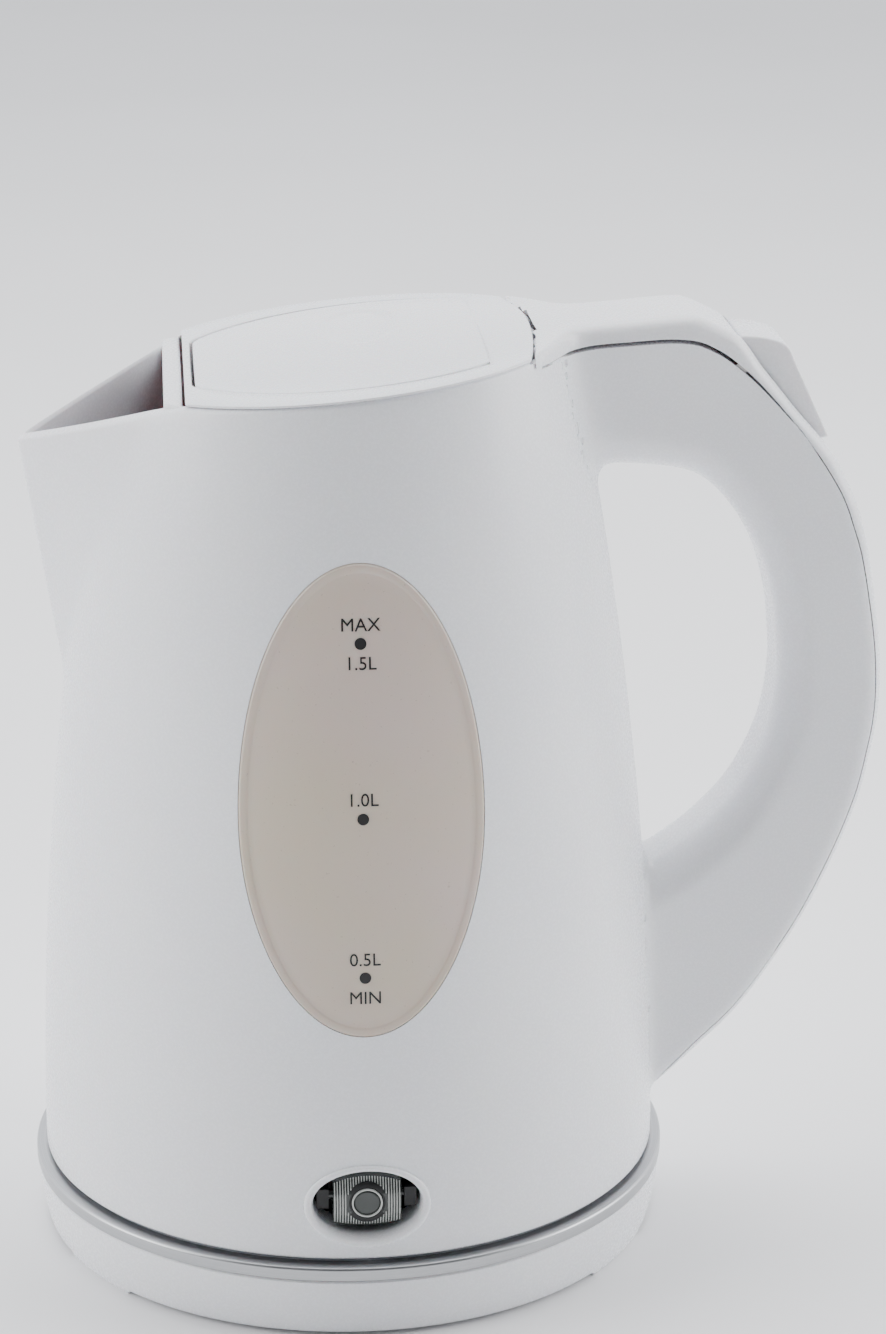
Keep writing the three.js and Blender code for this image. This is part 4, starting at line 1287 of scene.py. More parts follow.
def net(
    field_: Callable[[np.ndarray], np.ndarray],
    low: np.ndarray,
    high: np.ndarray,
    cell: float,
) -> tuple[np.ndarray, list]:
    """A quad skin over the zero level of a field, relaxed and drawn onto it.

    Args:
        field_: signed distance at N by 3 places, negative inside.
        low: lowest corner.
        high: highest corner.
        cell: grid spacing.

    Returns:
        Points and faces.
    """
    axes = [np.arange(low[i], high[i] + cell, cell) for i in range(3)]
    grid = np.stack(np.meshgrid(*axes, indexing="ij"), axis=-1)
    shape = grid.shape[:3]
    value = field_(grid.reshape(-1, 3)).reshape(shape)
    inside = value < 0
    size = tuple(n - 1 for n in shape)
    total = np.zeros(size + (3,))
    count = np.zeros(size)
    corner = lambda i, j, k: (slice(i, shape[0] - 1 + i), slice(j, shape[1] - 1 + j), slice(k, shape[2] - 1 + k))
    for axis in range(3):
        for p in (0, 1):
            for q in (0, 1):
                a = [p, q]
                a.insert(axis, 0)
                b = list(a)
                b[axis] = 1
                sa, sb = corner(*a), corner(*b)
                cross = inside[sa] != inside[sb]
                t = np.where(cross, value[sa] / np.where(cross, value[sa] - value[sb], 1), 0)
                spot = grid[sa] + (grid[sb] - grid[sa]) * t[..., None]
                total += np.where(cross[..., None], spot, 0)
                count += cross
    used = count > 0
    index = np.full(size, -1)
    index[used] = np.arange(used.sum())
    points = total[used] / count[used][:, None]
    faces = []
    for axis in range(3):
        first = [slice(1, n - 1) for n in shape]
        second = list(first)
        first[axis] = slice(0, shape[axis] - 1)
        second[axis] = slice(1, shape[axis])
        cross = inside[tuple(first)] != inside[tuple(second)]
        where = np.argwhere(cross)
        where[:, [i for i in range(3) if i != axis]] += 1
        flips = inside[tuple(first)][cross]
        i1, i2 = [(axis + 1) % 3, (axis + 2) % 3]
        quads = []
        for d1, d2 in ((0, 0), (1, 0), (1, 1), (0, 1)):
            spot = where.copy()
            spot[:, i1] -= d1
            spot[:, i2] -= d2
            quads.append(index[spot[:, 0], spot[:, 1], spot[:, 2]])
        quad = np.stack(quads, axis=1)
        quad[~flips] = quad[~flips][:, ::-1]
        faces.append(quad)
    quads = np.vstack(faces)
    quads = quads[(quads >= 0).all(1)]
    ends = np.vstack([quads[:, [0, 1]], quads[:, [1, 2]], quads[:, [2, 3]], quads[:, [3, 0]]])
    for step in range(7):
        if step < 5:
            total = np.zeros_like(points)
            hits = np.zeros(len(points))
            np.add.at(total, ends[:, 0], points[ends[:, 1]])
            np.add.at(hits, ends[:, 0], 1)
            points = 0.4 * points + 0.6 * total / np.maximum(hits, 1)[:, None]
        for _ in range(2):
            value = field_(points)
            slope = np.stack(
                [(field_(points + off) - field_(points - off)) / 0.1 for off in np.eye(3) * 0.05], axis=1
            )
            push = value[:, None] * slope / np.maximum((slope**2).sum(1), 0.05)[:, None]
            size_ = np.linalg.norm(push, axis=1)
            push *= np.minimum(1, cell * 0.6 / np.maximum(size_, 1e-9))[:, None]
            points = points - push
    return points, quads.tolist()


@dataclass
class Handle:
    """The grip that grows out of the jug, its long outer cover and the lid's release lever."""

    half: float = 15.0
    finger_round: float = 9.5
    outer_round: float = 4.0
    blend_high: float = 10.0
    blend_low: float = 5.0
    cell: float = 1.3
    outer: tuple[tuple[float, float], ...] = (
        (43.2, 200.4), (50, 201.0), (58.6, 201.6), (67.6, 202.3), (76.7, 203.0), (80.5, 202.8), (86.3, 200.2),
        (90.1, 198.0), (92.6, 195.2), (95.8, 190.6), (99.7, 185.8), (103.5, 181.0), (107.4, 176.5), (110.6, 172.8),
        (113.5, 169.0), (116, 164.2), (118.9, 158.0), (120.9, 151.6), (122.7, 143.3), (125.2, 126.8), (126.0, 116),
        (125.9, 107), (124.7, 98.3), (121.9, 85.3), (115.9, 69.2), (107.3, 51.8), (95, 33.2), (84.1, 21.8),
        (74.6, 12.8),
    )
    seam: tuple[tuple[float, float], ...] = (
        (38, 195.9), (43.4, 196), (51.8, 196.6), (56.7, 197.2), (65.6, 197.8), (74, 198.2), (80.2, 197.6),
        (83.9, 196.1), (87.7, 193.8), (92.9, 189.4), (97.5, 184.6), (101.7, 179.8), (105.2, 175.7), (108.6, 171.0),
        (112.4, 165.2), (115.6, 159.4), (118.0, 152.8), (120.6, 144.0), (123.6, 127.0), (124.6, 116), (124.5, 107),
        (123.3, 98.6), (120.5, 86), (114.6, 70.2), (106.1, 52.9), (94, 34.7), (83.4, 23.7), (75.2, 15.0),
        (70, 10.2),
    )
    finger: tuple[tuple[float, float], ...] = (
        (40, 168.5), (56, 168.2), (66, 167.4), (74, 166.6), (82.1, 164.4), (89.5, 157.6), (96.7, 145.8),
        (100.6, 133.0), (101.9, 121.5), (102.1, 115.3), (100.9, 104.9), (98.1, 95.8), (92.4, 85.2), (84.5, 76.6),
        (76, 70.0), (66, 63.8), (56, 58),
    )
    shadow: float = 1.0
    tight: float = 0.25
    lever_pivot: tuple[float, float] = (90.4, 190.5)
    lever_reach: float = 28.2
    lever_half: float = 10.0

    def __post_init__(self) -> None:
        """Works out the lines that the parts share."""
        self.outer_line = spline(self.outer, 110)
        self.finger_line = spline(self.finger, 70)
        self.seam_line = spline(self.seam, 110)
        start = np.array([[36.0, 199.6]])
        self.loop = np.vstack([start, self.outer_line, [(60, 8), (45, 40)], self.finger_line[::-1], [(36, 168.5)]])
        self.outer_run = np.vstack([start, self.outer_line, self.outer_line[-1] + [-14, -10]])

    def field(self, at: np.ndarray) -> np.ndarray:
        """Signed distance from the grip alone.

        Args:
            at: N by 3 places.

        Returns:
            N distances.
        """
        flat = at[:, [0, 2]]
        to_outer = line_distance(flat, self.outer_run)
        to_finger = line_distance(flat, self.finger_line)
        side = np.minimum(to_outer, to_finger)
        side = np.where(inside_outline(flat, self.loop), -side, side)
        share = ease(to_finger / np.maximum(to_finger + to_outer, 1e-6))
        soft = self.finger_round + (self.outer_round - self.finger_round) * share
        across = np.abs(at[:, 1]) - self.half
        a, b = side + soft, across + soft
        return np.minimum(np.maximum(a, b), 0) + np.hypot(np.maximum(a, 0), np.maximum(b, 0)) - soft

    def joined(self, at: np.ndarray) -> np.ndarray:
        """Signed distance from the grip grown together with the jug.

        Args:
            at: N by 3 places.

        Returns:
            N distances.
        """
        body = FORM.distance(at) + 0.04
        grip = self.field(at)
        k = self.blend_low + (self.blend_high - self.blend_low) * ease((at[:, 2] - 40) / 100)
        lap = np.maximum(k - np.abs(body - grip), 0) / k
        return np.minimum(body, grip) - k * lap**3 / 6

    def shell_field(self, at: np.ndarray) -> np.ndarray:
        """The joined form kept to the grip's surroundings and outside the jug's inner half.

        Args:
            at: N by 3 places.

        Returns:
            N distances.
        """
        body = FORM.distance(at)
        return np.maximum(self.joined(at), np.maximum(-(body + 1.3), self.field(at) - self.blend_high - 1.5))

    def gap(self, x: np.ndarray) -> np.ndarray:
        """Width of the shadow gap under the cover at a place along X."""
        wide = ease((x - 48.0) / 1.5) * (1 - ease((x - 80.0) / 27.0))
        return self.tight + (self.shadow - self.tight) * wide

    def build_shell(self) -> bpy.types.Object:
        """Builds the grip's inner moulding, which runs into the jug without a seam.

        Returns:
            The shell.
        """
        near, far = np.array([30.0, -34.0, 2.0]), np.array([130.0, 34.0, 208.0])
        points, faces = net(self.shell_field, near, far, self.cell)
        shell = make_piece("grip_shell", points, faces, SEAT)
        line = self.seam_line
        out = normals_of(line)
        toward = 1.0 if float(out[5, 1]) < 0 else -1.0
        narrow = np.where(np.arange(len(line)) > 88, 0.3, 1.0)
        under = line + out * (toward * self.gap(line[:, 0]) * narrow)[:, None]
        beyond = [(60, 6), (60, -20), (190, -20), (190, 240), (20, 240), (20, float(under[0, 1]))]
        above = np.vstack([under, beyond])
        hollow = [
            (63, 178), (66, 190), (84, 190), (92, 186), (101, 176),
            (107, 165), (99, 152), (92, 162), (84, 170), (66, 172),
        ]
        x, z = self.lever_pivot
        swing = [(x + (self.lever_reach + 0.8) * math.cos(a), z + (self.lever_reach + 0.8) * math.sin(a))
                 for a in np.linspace(-0.75, 0.4, 24)]
        pocket = [(x - 6, z + 12), (x - 6, z - 18), (x + 6, z - 18), (x + 13, z - 15)] + swing
        carve(shell, [
            prism("cut_seam", above, "y", -60, 60, SEAT),
            prism("cut_pocket", pocket, "y", -10.6, 10.6, SEAT),
            prism("cut_hollow", hollow, "y", -9.5, 9.5, SEAT),
            slab("cut_way", (30, -4.2, 188.1), (70, 4.2, 192.9), SEAT),
        ])
        return finish_piece(shell, WHITE, "white_gloss", "kettle", "handle_shell")

    def width_at(self, x: float, z: float, bow: float) -> float:
        """Half width of the joined form at the seam's height.

        Args:
            x: the place along X on the middle line.
            z: the height.
            bow: share of the lid's bow that the cover follows here.

        Returns:
            The half width.
        """
        tries = np.linspace(6, 42, 361)
        at = np.column_stack([x - bow * PLAN.bow * (tries / PLAN.bow_half) ** 2, tries, np.full(len(tries), z)])
        outside = np.flatnonzero(self.joined(at) > 0)
        return float(tries[outside[0]]) - 0.05 if len(outside) else 36.0

    def build_cover(self) -> bpy.types.Object:
        """Builds the cover as cross-sections from the lid's seam down to the jug's foot.

        Returns:
            The cover.
        """
        line = spline(self.outer, 150)
        line[0, 0] += 0.4
        inward = normals_of(line)
        if float(inward[3, 1]) > 0:
            inward = -inward
        sections = []
        dense = spline(self.seam, 900)
        for (x, z), (nx, nz) in zip(line, inward):
            bow = float(1 - ease(np.array((x - 43.2) / 11.0))) if z > 180 else 0.0
            side = (dense[:, 0] - x) * nz - (dense[:, 1] - z) * nx
            ahead = (dense[:, 0] - x) * nx + (dense[:, 1] - z) * nz
            near = np.where((ahead > -0.5) & (ahead < 12), np.abs(side), 1e9)
            deep = max(float(ahead[int(near.argmin())]), 0.7)
            seam_z = z + nz * deep
            half = self.width_at(x, seam_z, bow) if x < 64 and z > 180 else self.half
            soft = self.outer_round
            lip = half - (soft - math.sqrt(max(soft**2 - max(soft - deep, 0) ** 2, 0.01))) if deep < soft else half
            edge = np.linspace(0.72, 1, 9)
            across = np.concatenate([-edge[::-1], np.linspace(-0.6, 0.6, 11), edge])
            ring = []
            for t in across:
                y = t * lip
                beyond = max(abs(y) - (half - soft), 0)
                drop = soft - math.sqrt(max(soft**2 - beyond**2, 0)) if half - soft < abs(y) else 0.0
                drop = min(drop, deep - 0.05)
                if bow > 0:
                    here = float(PLAN.dome(np.array(x), np.array(0.0)) - PLAN.dome(np.array(x), np.array(y)))
                    drop = (1 - bow) * drop + bow * min(here + 0.35 * max(abs(t) - 0.97, 0) * 33, deep - 0.6)
                ring.append((x + nx * drop - bow * PLAN.bow * (y / PLAN.bow_half) ** 2, y, z + nz * drop))
            for t in np.linspace(1, -1, 9):
                y = t * lip
                ring.append((x + nx * deep - bow * PLAN.bow * (y / PLAN.bow_half) ** 2, y, z + nz * deep))
            sections.append(ring)
        cover = swept("grip_cover", np.array(sections), False, SEAT, 38)
        x, z = self.lever_pivot
        swing = [(x + (self.lever_reach + 0.6) * math.cos(a), z + (self.lever_reach + 0.6) * math.sin(a))
                 for a in np.linspace(-0.9, 1.57, 60)]
        pocket = [(x - 0.6, z - 20)] + swing + [(x - 0.6, z + 28.8)]
        carve(cover, [prism("cut_lever", pocket, "y", -10.6, 10.6, SEAT), *self.lid_sweep()], sharp=38)
        return finish_piece(cover, WHITE, "white_gloss", "kettle", "handle_cover")

    def lid_sweep(self) -> list[bpy.types.Object]:
        """The room the lid's tongue turns in, as cutters round its axis.

        Returns:
            Cutters, each wider and thinner than the one before.
        """
        u, w = PLAN.axis
        cutters = []
        for reach, half in ((4.9, 11.0), (4.1, 17.0), (3.1, 24.0)):
            turn = np.arange(64) * 2 * math.pi / 64
            round_ = np.column_stack([u + reach * np.cos(turn), w + reach * np.sin(turn)])
            cutter = prism(f"cut_sweep_{int(half)}", round_, "y", -half, half)
            place_tilted(cutter)
            cutters.append(cutter)
        return cutters

    def build_lever(self) -> bpy.types.Object:
        """Builds the thumb lever with its arm, rounded at its edges.

        Returns:
            The lever.
        """
        x, z = self.lever_pivot
        face = spline([(90.8, 197.6), (94.5, 197.4), (98.2, 196.7), (102.0, 194.9), (104.2, 190.6), (107.2, 184.2),
                       (110.6, 176.9), (112.2, 173.4)], 40)
        back = [(107.6, 172.6), (104.6, 176.2), (100.8, 180.6), (97.0, 185.2), (94.2, 189.6), (90.8, 191.8)]
        lever = prism("thumb_lever", np.vstack([face, back]), "y", -self.lever_half, self.lever_half, SEAT)
        bevelled(lever, 0.9, 3, 35)
        hub = [(x + 4 * math.cos(a), z + 4 * math.sin(a)) for a in np.arange(48) * 2 * math.pi / 48]
        bore = [(x + 1.6 * math.cos(a), z + 1.6 * math.sin(a)) for a in np.arange(36) * 2 * math.pi / 36]
        web = [(x, z), (100, 189.6), (100, 194.2), (x + 0.6, 195.5)]
        carve(lever, [
            prism("join_hub", hub, "y", -6, 6, SEAT),
            prism("join_web", web, "y", -6, 6, SEAT),
            slab("join_arm", (x - 4.2, -4, z - 16), (x - 1, 4, z), SEAT),
        ], "UNION", 40)
        carve(lever, [prism("cut_bore", bore, "y", -20, 20, SEAT)], sharp=40)
        return finish_piece(lever, WHITE, "white_gloss", "lever", "release_lever")


# ------------------------------------------------------------------ rocker switch


@dataclass
class RockerSwitch:
    """The switch low on the jug: oval bezel, clear ribbed rocker and its round lens."""

    height: float = 13.1
    bezel: tuple[float, float] = (14.45, 10.1)
    opening: tuple[float, float] = (12.1, 8.2)
    pivot: float = -67.0
    half: float = 7.7
    tall: float = 6.6
    ribs: int = 25
    rib: float = 0.22

    def oval(self, wide: float, tall: float, grow: float = 0.0, count: int = 96) -> np.ndarray:
        """An ellipse in X and Z round the switch's middle."""
        turn = np.arange(count) * 2 * math.pi / count
        return np.column_stack([(wide + grow) * np.cos(turn), self.height + (tall + grow) * np.sin(turn)])

    def build_bezel(self) -> bpy.types.Object:
        """Builds the bezel as a ring with a soft front edge that follows the jug.

        Returns:
            The bezel.
        """
        (bw, bt), (ow, ot) = self.bezel, self.opening
        rows = []
        profile = [(0.0, None), (0.0, 0.15), (0.1, 0.42), (0.35, 0.62), (0.75, 0.7), (1.15, 0.6), (1.5, 0.3),
                   (1.75, -0.4), (1.95, -2.0), (2.1, -9.0), (0.4, -9.0)]
        for inset, out in profile:
            share = inset / 2.1
            ring = self.oval(bw + (ow - bw) * share, bt + (ot - bt) * share)
            place = on_body(ring[:, 0], ring[:, 1], -4.0 if out is None else max(out, -4.0))
            if out is not None and out <= -4:
                place[:, 1] = -64.5
            rows.append(place)
        rows[-1][:, 1] = -64.5
        bezel = make_piece("switch_rim", np.stack(rows), grid_faces(len(rows), 96, True, True), SEAT)
        return finish_piece(bezel, WHITE, "white_gloss", "kettle", "switch_bezel")

    def build_rocker(self) -> bpy.types.Object:
        """Builds the clear rocker's body with its pins and the hole for its lens; its ribs are grown apart, in
        build_ribs.

        Returns:
            The rocker.
        """
        front = [
            (self.pivot - 3.2 - 2.2 * (1 - t**2), self.height + self.tall * t) for t in np.linspace(1, -1, 25)
        ]
        side = [(self.pivot + 2.5, self.height + 5.2)] + front + [(self.pivot + 2.5, self.height - 5.2)]
        rocker = prism("switch_rocker", side, "x", -self.half, self.half, SEAT)
        oval = self.oval(12.6, self.tall)
        carve(rocker, [prism("keep_oval", oval, "y", -90, -40, SEAT)], "INTERSECT")
        bevelled(rocker, 0.3, 2, 40)
        lens = self.oval(4.1, 4.1, count=48)
        around = np.arange(24) * math.pi / 12
        pins = [(self.pivot + 1.2 * math.cos(a), self.height + 1.2 * math.sin(a)) for a in around]
        carve(rocker, [prism("join_pin", pins, "x", -self.half - 3.4, self.half + 3.4, SEAT)], "UNION")
        carve(rocker, [prism("cut_lens", lens, "y", -90, self.pivot - 2.8, SEAT)])
        return finish_piece(rocker, LENS, "clear", "rocker", "power_rocker")

    def build_ribs(self) -> bpy.types.Object:
        """Grows the rocker's ribs with Geometry Nodes: upright bars, shorter towards the sides.

        Returns:
            The ribs.
        """
        tree = bpy.data.node_groups.new("rocker_ribs", "GeometryNodeTree")
        tree.interface.new_socket("Geometry", in_out="OUTPUT", socket_type="NodeSocketGeometry")
        sizes = {"Half width": self.half * MM, "Half height": self.tall * MM, "Rib": self.rib * MM, "Out": 0.35 * MM}
        ids = {}
        for name in sizes:
            ids[name] = tree.interface.new_socket(name, in_out="INPUT", socket_type="NodeSocketFloat").identifier
        ids["Count"] = tree.interface.new_socket("Count", in_out="INPUT", socket_type="NodeSocketInt").identifier
        given = add(tree, "NodeGroupInput").outputs
        low = add(tree, "ShaderNodeMath", {"operation": "MULTIPLY"}, i0=given["Half width"], i1=-0.955)
        high = add(tree, "ShaderNodeMath", {"operation": "MULTIPLY"}, i0=given["Half width"], i1=0.955)
        start = add(tree, "ShaderNodeCombineXYZ", X=low.outputs[0])
        end = add(tree, "ShaderNodeCombineXYZ", X=high.outputs[0])
        line = add(tree, "GeometryNodeMeshLine", {"mode": "END_POINTS"}, Count=given["Count"],
                   Start_Location=start.outputs[0], Offset=end.outputs[0])
        bar_size = add(tree, "ShaderNodeCombineXYZ", X=given["Rib"], Y=given["Out"], Z=1.0)
        bar = add(tree, "GeometryNodeMeshCube", Size=bar_size.outputs[0])
        spot = add(tree, "GeometryNodeInputPosition")
        split = add(tree, "ShaderNodeSeparateXYZ", Vector=spot.outputs[0])
        share = add(tree, "ShaderNodeMath", {"operation": "DIVIDE"}, i0=split.outputs["X"], i1=12.6 * MM)
        square = add(tree, "ShaderNodeMath", {"operation": "MULTIPLY"}, i0=share.outputs[0], i1=share.outputs[0])
        rest = add(tree, "ShaderNodeMath", {"operation": "SUBTRACT"}, i0=1.0, i1=square.outputs[0])
        root = add(tree, "ShaderNodeMath", {"operation": "SQRT"}, i0=rest.outputs[0])
        tall = add(tree, "ShaderNodeMath", {"operation": "MULTIPLY"}, i0=root.outputs[0], i1=given["Half height"])
        full = add(tree, "ShaderNodeMath", {"operation": "MULTIPLY"}, i0=tall.outputs[0], i1=1.8)
        scale = add(tree, "ShaderNodeCombineXYZ", X=1.0, Y=1.0, Z=full.outputs[0])
        grown = add(tree, "GeometryNodeInstanceOnPoints", Points=line.outputs[0], Instance=bar.outputs[0],
                    Scale=scale.outputs[0])
        real = add(tree, "GeometryNodeRealizeInstances", Geometry=grown.outputs[0])
        # Painted highlight: the ribs get an opaque pale colour that stands in for the light caught on their edges.
        dressed = add(tree, "GeometryNodeSetMaterial", Geometry=real.outputs[0], Material=RIB_PAINTED_HIGHLIGHT.material())
        add(tree, "NodeGroupOutput", Geometry=dressed.outputs[0])
        ribs = grow("rocker_ribs", tree, {**{ids[n]: v for n, v in sizes.items()}, ids["Count"]: self.ribs})
        work = bmesh.new()
        work.from_mesh(ribs.data)
        bmesh.ops.subdivide_edges(work, edges=[e for e in work.edges if e.calc_length() > 2 * MM], cuts=26)
        gone = []
        for vert in work.verts:
            t = vert.co.z / (self.tall * MM)
            vert.co.y += (self.pivot - 3.2 - 2.2 * (1 - min(t * t, 1))) * MM
            vert.co.z += (self.height + SEAT) * MM
        for face in work.faces:
            c = face.calc_center_median() / MM
            if math.hypot(c.x, c.z - SEAT - self.height) < 4.85:
                gone.append(face)
        bmesh.ops.delete(work, geom=gone, context="FACES")
        loose = [e for e in work.edges if e.is_boundary]
        bmesh.ops.holes_fill(work, edges=loose, sides=8)
        bmesh.ops.recalc_face_normals(work, faces=work.faces)
        work.to_mesh(ribs.data)
        work.free()
        return finish_piece(ribs, RIB_PAINTED_HIGHLIGHT, "clear", "rocker")

    def build_lens(self) -> bpy.types.Object:
        """Builds the round lens, the dark ring round it, and a pale ring that is a painted highlight on the lens's
        edge.

        Returns:
            The lens.
        """
        lens = turned("lens", [(0, 0, 0), (3.3, 0, 0), (3.3, 1.9, 0.3), (2.6, 2.3, 0.2), (0, 2.5, 0)], 0, 64)
        ring = turned(
            "lens_ring",
            [(3.35, 0, 0), (4.95, 0, 0.1), (4.95, 1.9, 0.2), (3.9, 2.2, 0.1), (3.35, 2.0, 0.1)],
            0,
            64,
        )
        # Painted highlight: a thin pale ring stands in for the light caught on the lens's rim.
        line = turned("lens_line", [(3.1, 1.9, 0), (3.5, 1.9, 0), (3.5, 2.55, 0.15), (3.1, 2.55, 0.15)], 0, 64)
        for piece in (lens, ring, line):
            middle = Matrix.Translation((0, (self.pivot - 3.0) * MM, (self.height + SEAT) * MM))
            piece.data.transform(middle @ Matrix.Rotation(math.pi / 2, 4, "X"))
        finish_piece(lens, LENS, "clear", "rocker", "rocker_lens")
        finish_piece(line, RIB_PAINTED_HIGHLIGHT, "clear", "rocker")
        return finish_piece(ring, BLACK, "black_plastic", "rocker")


def grow(name: str, tree: bpy.types.NodeTree, values: dict[str, Any]) -> bpy.types.Object:
    """Runs a Geometry Nodes tree and keeps its plain mesh.

    Args:
        name: the object's name.
        tree: the tree.
        values: input values by socket identifier.

    Returns:
        The object, with no modifier left.
    """
    piece = bpy.data.objects.new(name, bpy.data.meshes.new(name))
    change = piece.modifiers.new("grow", "NODES")
    change.node_group = tree
    for key, value in values.items():
        change[key] = value
    bpy.context.scene.collection.objects.link(piece)
    settle(piece)
    shade(piece)
    return piece


# ------------------------------------------------------------------ power base and underside


@dataclass
class PowerBase:
    """The round power base with its metal ring and its black connector."""

    radius: float = 76.7
    height: float = 18.4
    ring_width: float = 4.3
    ring_drop: float = 3.2
    flange: float = 24.65
    collar: tuple[float, float] = (18.55, 20.15)
    rings: tuple[tuple[float, float], ...] = ((1.95, 4.8), (7.2, 9.7), (12.7, 15.7))
    connector_top: float = 33.6
    floor: float = 19.0
    feet: tuple[float, ...] = (33, 147, 213, 327)

    def build(self) -> None:
        """Builds and dresses the ring, disc, skirt, connector and gland."""
        r, h, w = self.radius, self.height, self.ring_width
        ring = turned("trim_ring", [(r - 1.1, h - self.ring_drop, 0.1), (r, h - self.ring_drop, 0.3), (r, h, 0.7),
                                    (r - w, h, 0.25), (r - w, h - 1.1, 0.1), (r - 1.1, h - 1.1, 0.1)], around=256)
        finish_piece(ring, TRIM, "trim_steel", "base", "base_trim_ring")
        disc = turned("top_disc", [(self.flange + 0.3, 15.8, 0.1), (r - w - 0.25, 15.8, 0.1),
                                   (r - w - 0.25, 18.0, 0.5), (self.flange + 0.3, 18.0, 0.3)], around=256)
        finish_piece(disc, WHITE_MATT, "white_gloss", "base", "base_disc")
        skirt = self.skirt()
        finish_piece(skirt, WHITE, "white_gloss", "base", "base_skirt")
        section = [(0, 15.8, 0), (self.flange, 15.8, 0.3), (self.flange, 17.4, 0.4), (self.collar[1], 17.6, 0.5),
                   (self.collar[1], self.connector_top, 0.5), (self.collar[0], self.connector_top, 0.3),
                   (self.collar[0], self.floor, 0.2)]
        for inner, outer in reversed(self.rings):
            section += [(outer, self.floor, 0.2), (outer, self.connector_top - 0.6, 0.9),
                        (inner, self.connector_top - 0.6, 0.9), (inner, self.floor, 0.2)]
        section += [(0, self.floor, 0)]
        finish_piece(turned("connector", section), BLACK, "black_plastic", "base", "base_connector")
        gland = turned("gland", [(3.3, 67, 0.3), (4.9, 67, 0.3), (4.9, 77, 0.6), (3.3, 77, 0.4)], around=64)
        gland.data.transform(Matrix.Translation((0, 0, 8.9 * MM)) @ Matrix.Rotation(-math.pi / 2, 4, "X"))
        finish_piece(gland, BLACK, "black_plastic", "base", "cord_gland")

    def skirt(self) -> bpy.types.Object:
        """Builds the skirt, which stands on four arcs of its lower edge.

        Returns:
            The skirt.
        """
        top = self.height - self.ring_drop - 0.3
        outer = self.radius - 0.3
        heights = np.linspace(0.6, top - 0.4, 16)
        wall = [(outer - 2.4 * ((top - z) / top) ** 1.6, z) for z in heights]
        section = [(wall[0][0] - 2.2, 0.0), (wall[0][0] - 0.5, 0.0)] + wall + [
            (outer - 0.35, top), (self.radius - 8.3, top), (self.radius - 8.3, top - 2), (outer - 2.5, top - 4)]
        flat = np.array(section)
        turn = np.arange(360) * 2 * math.pi / 360
        degrees = np.degrees(turn)
        near = np.min([np.abs((degrees - f + 180) % 360 - 180) for f in self.feet], axis=0)
        lift = 1.2 * ease((near - 9.0) / 0.9)
        rows = []
        for radius, z in flat:
            up = np.maximum(z, lift) if z < 1.3 else np.full(360, z)
            rows.append(np.column_stack([radius * np.cos(turn), radius * np.sin(turn), up]))
        skirt = make_piece("skirt", np.stack(rows), grid_faces(len(rows), 360, True, True), merge=0.0)
        hole = [(5.2 * math.cos(a), 8.9 + 5.2 * math.sin(a)) for a in np.arange(48) * 2 * math.pi / 48]
        carve(skirt, [prism("cut_gland", hole, "y", 60, 90)])
        return skirt


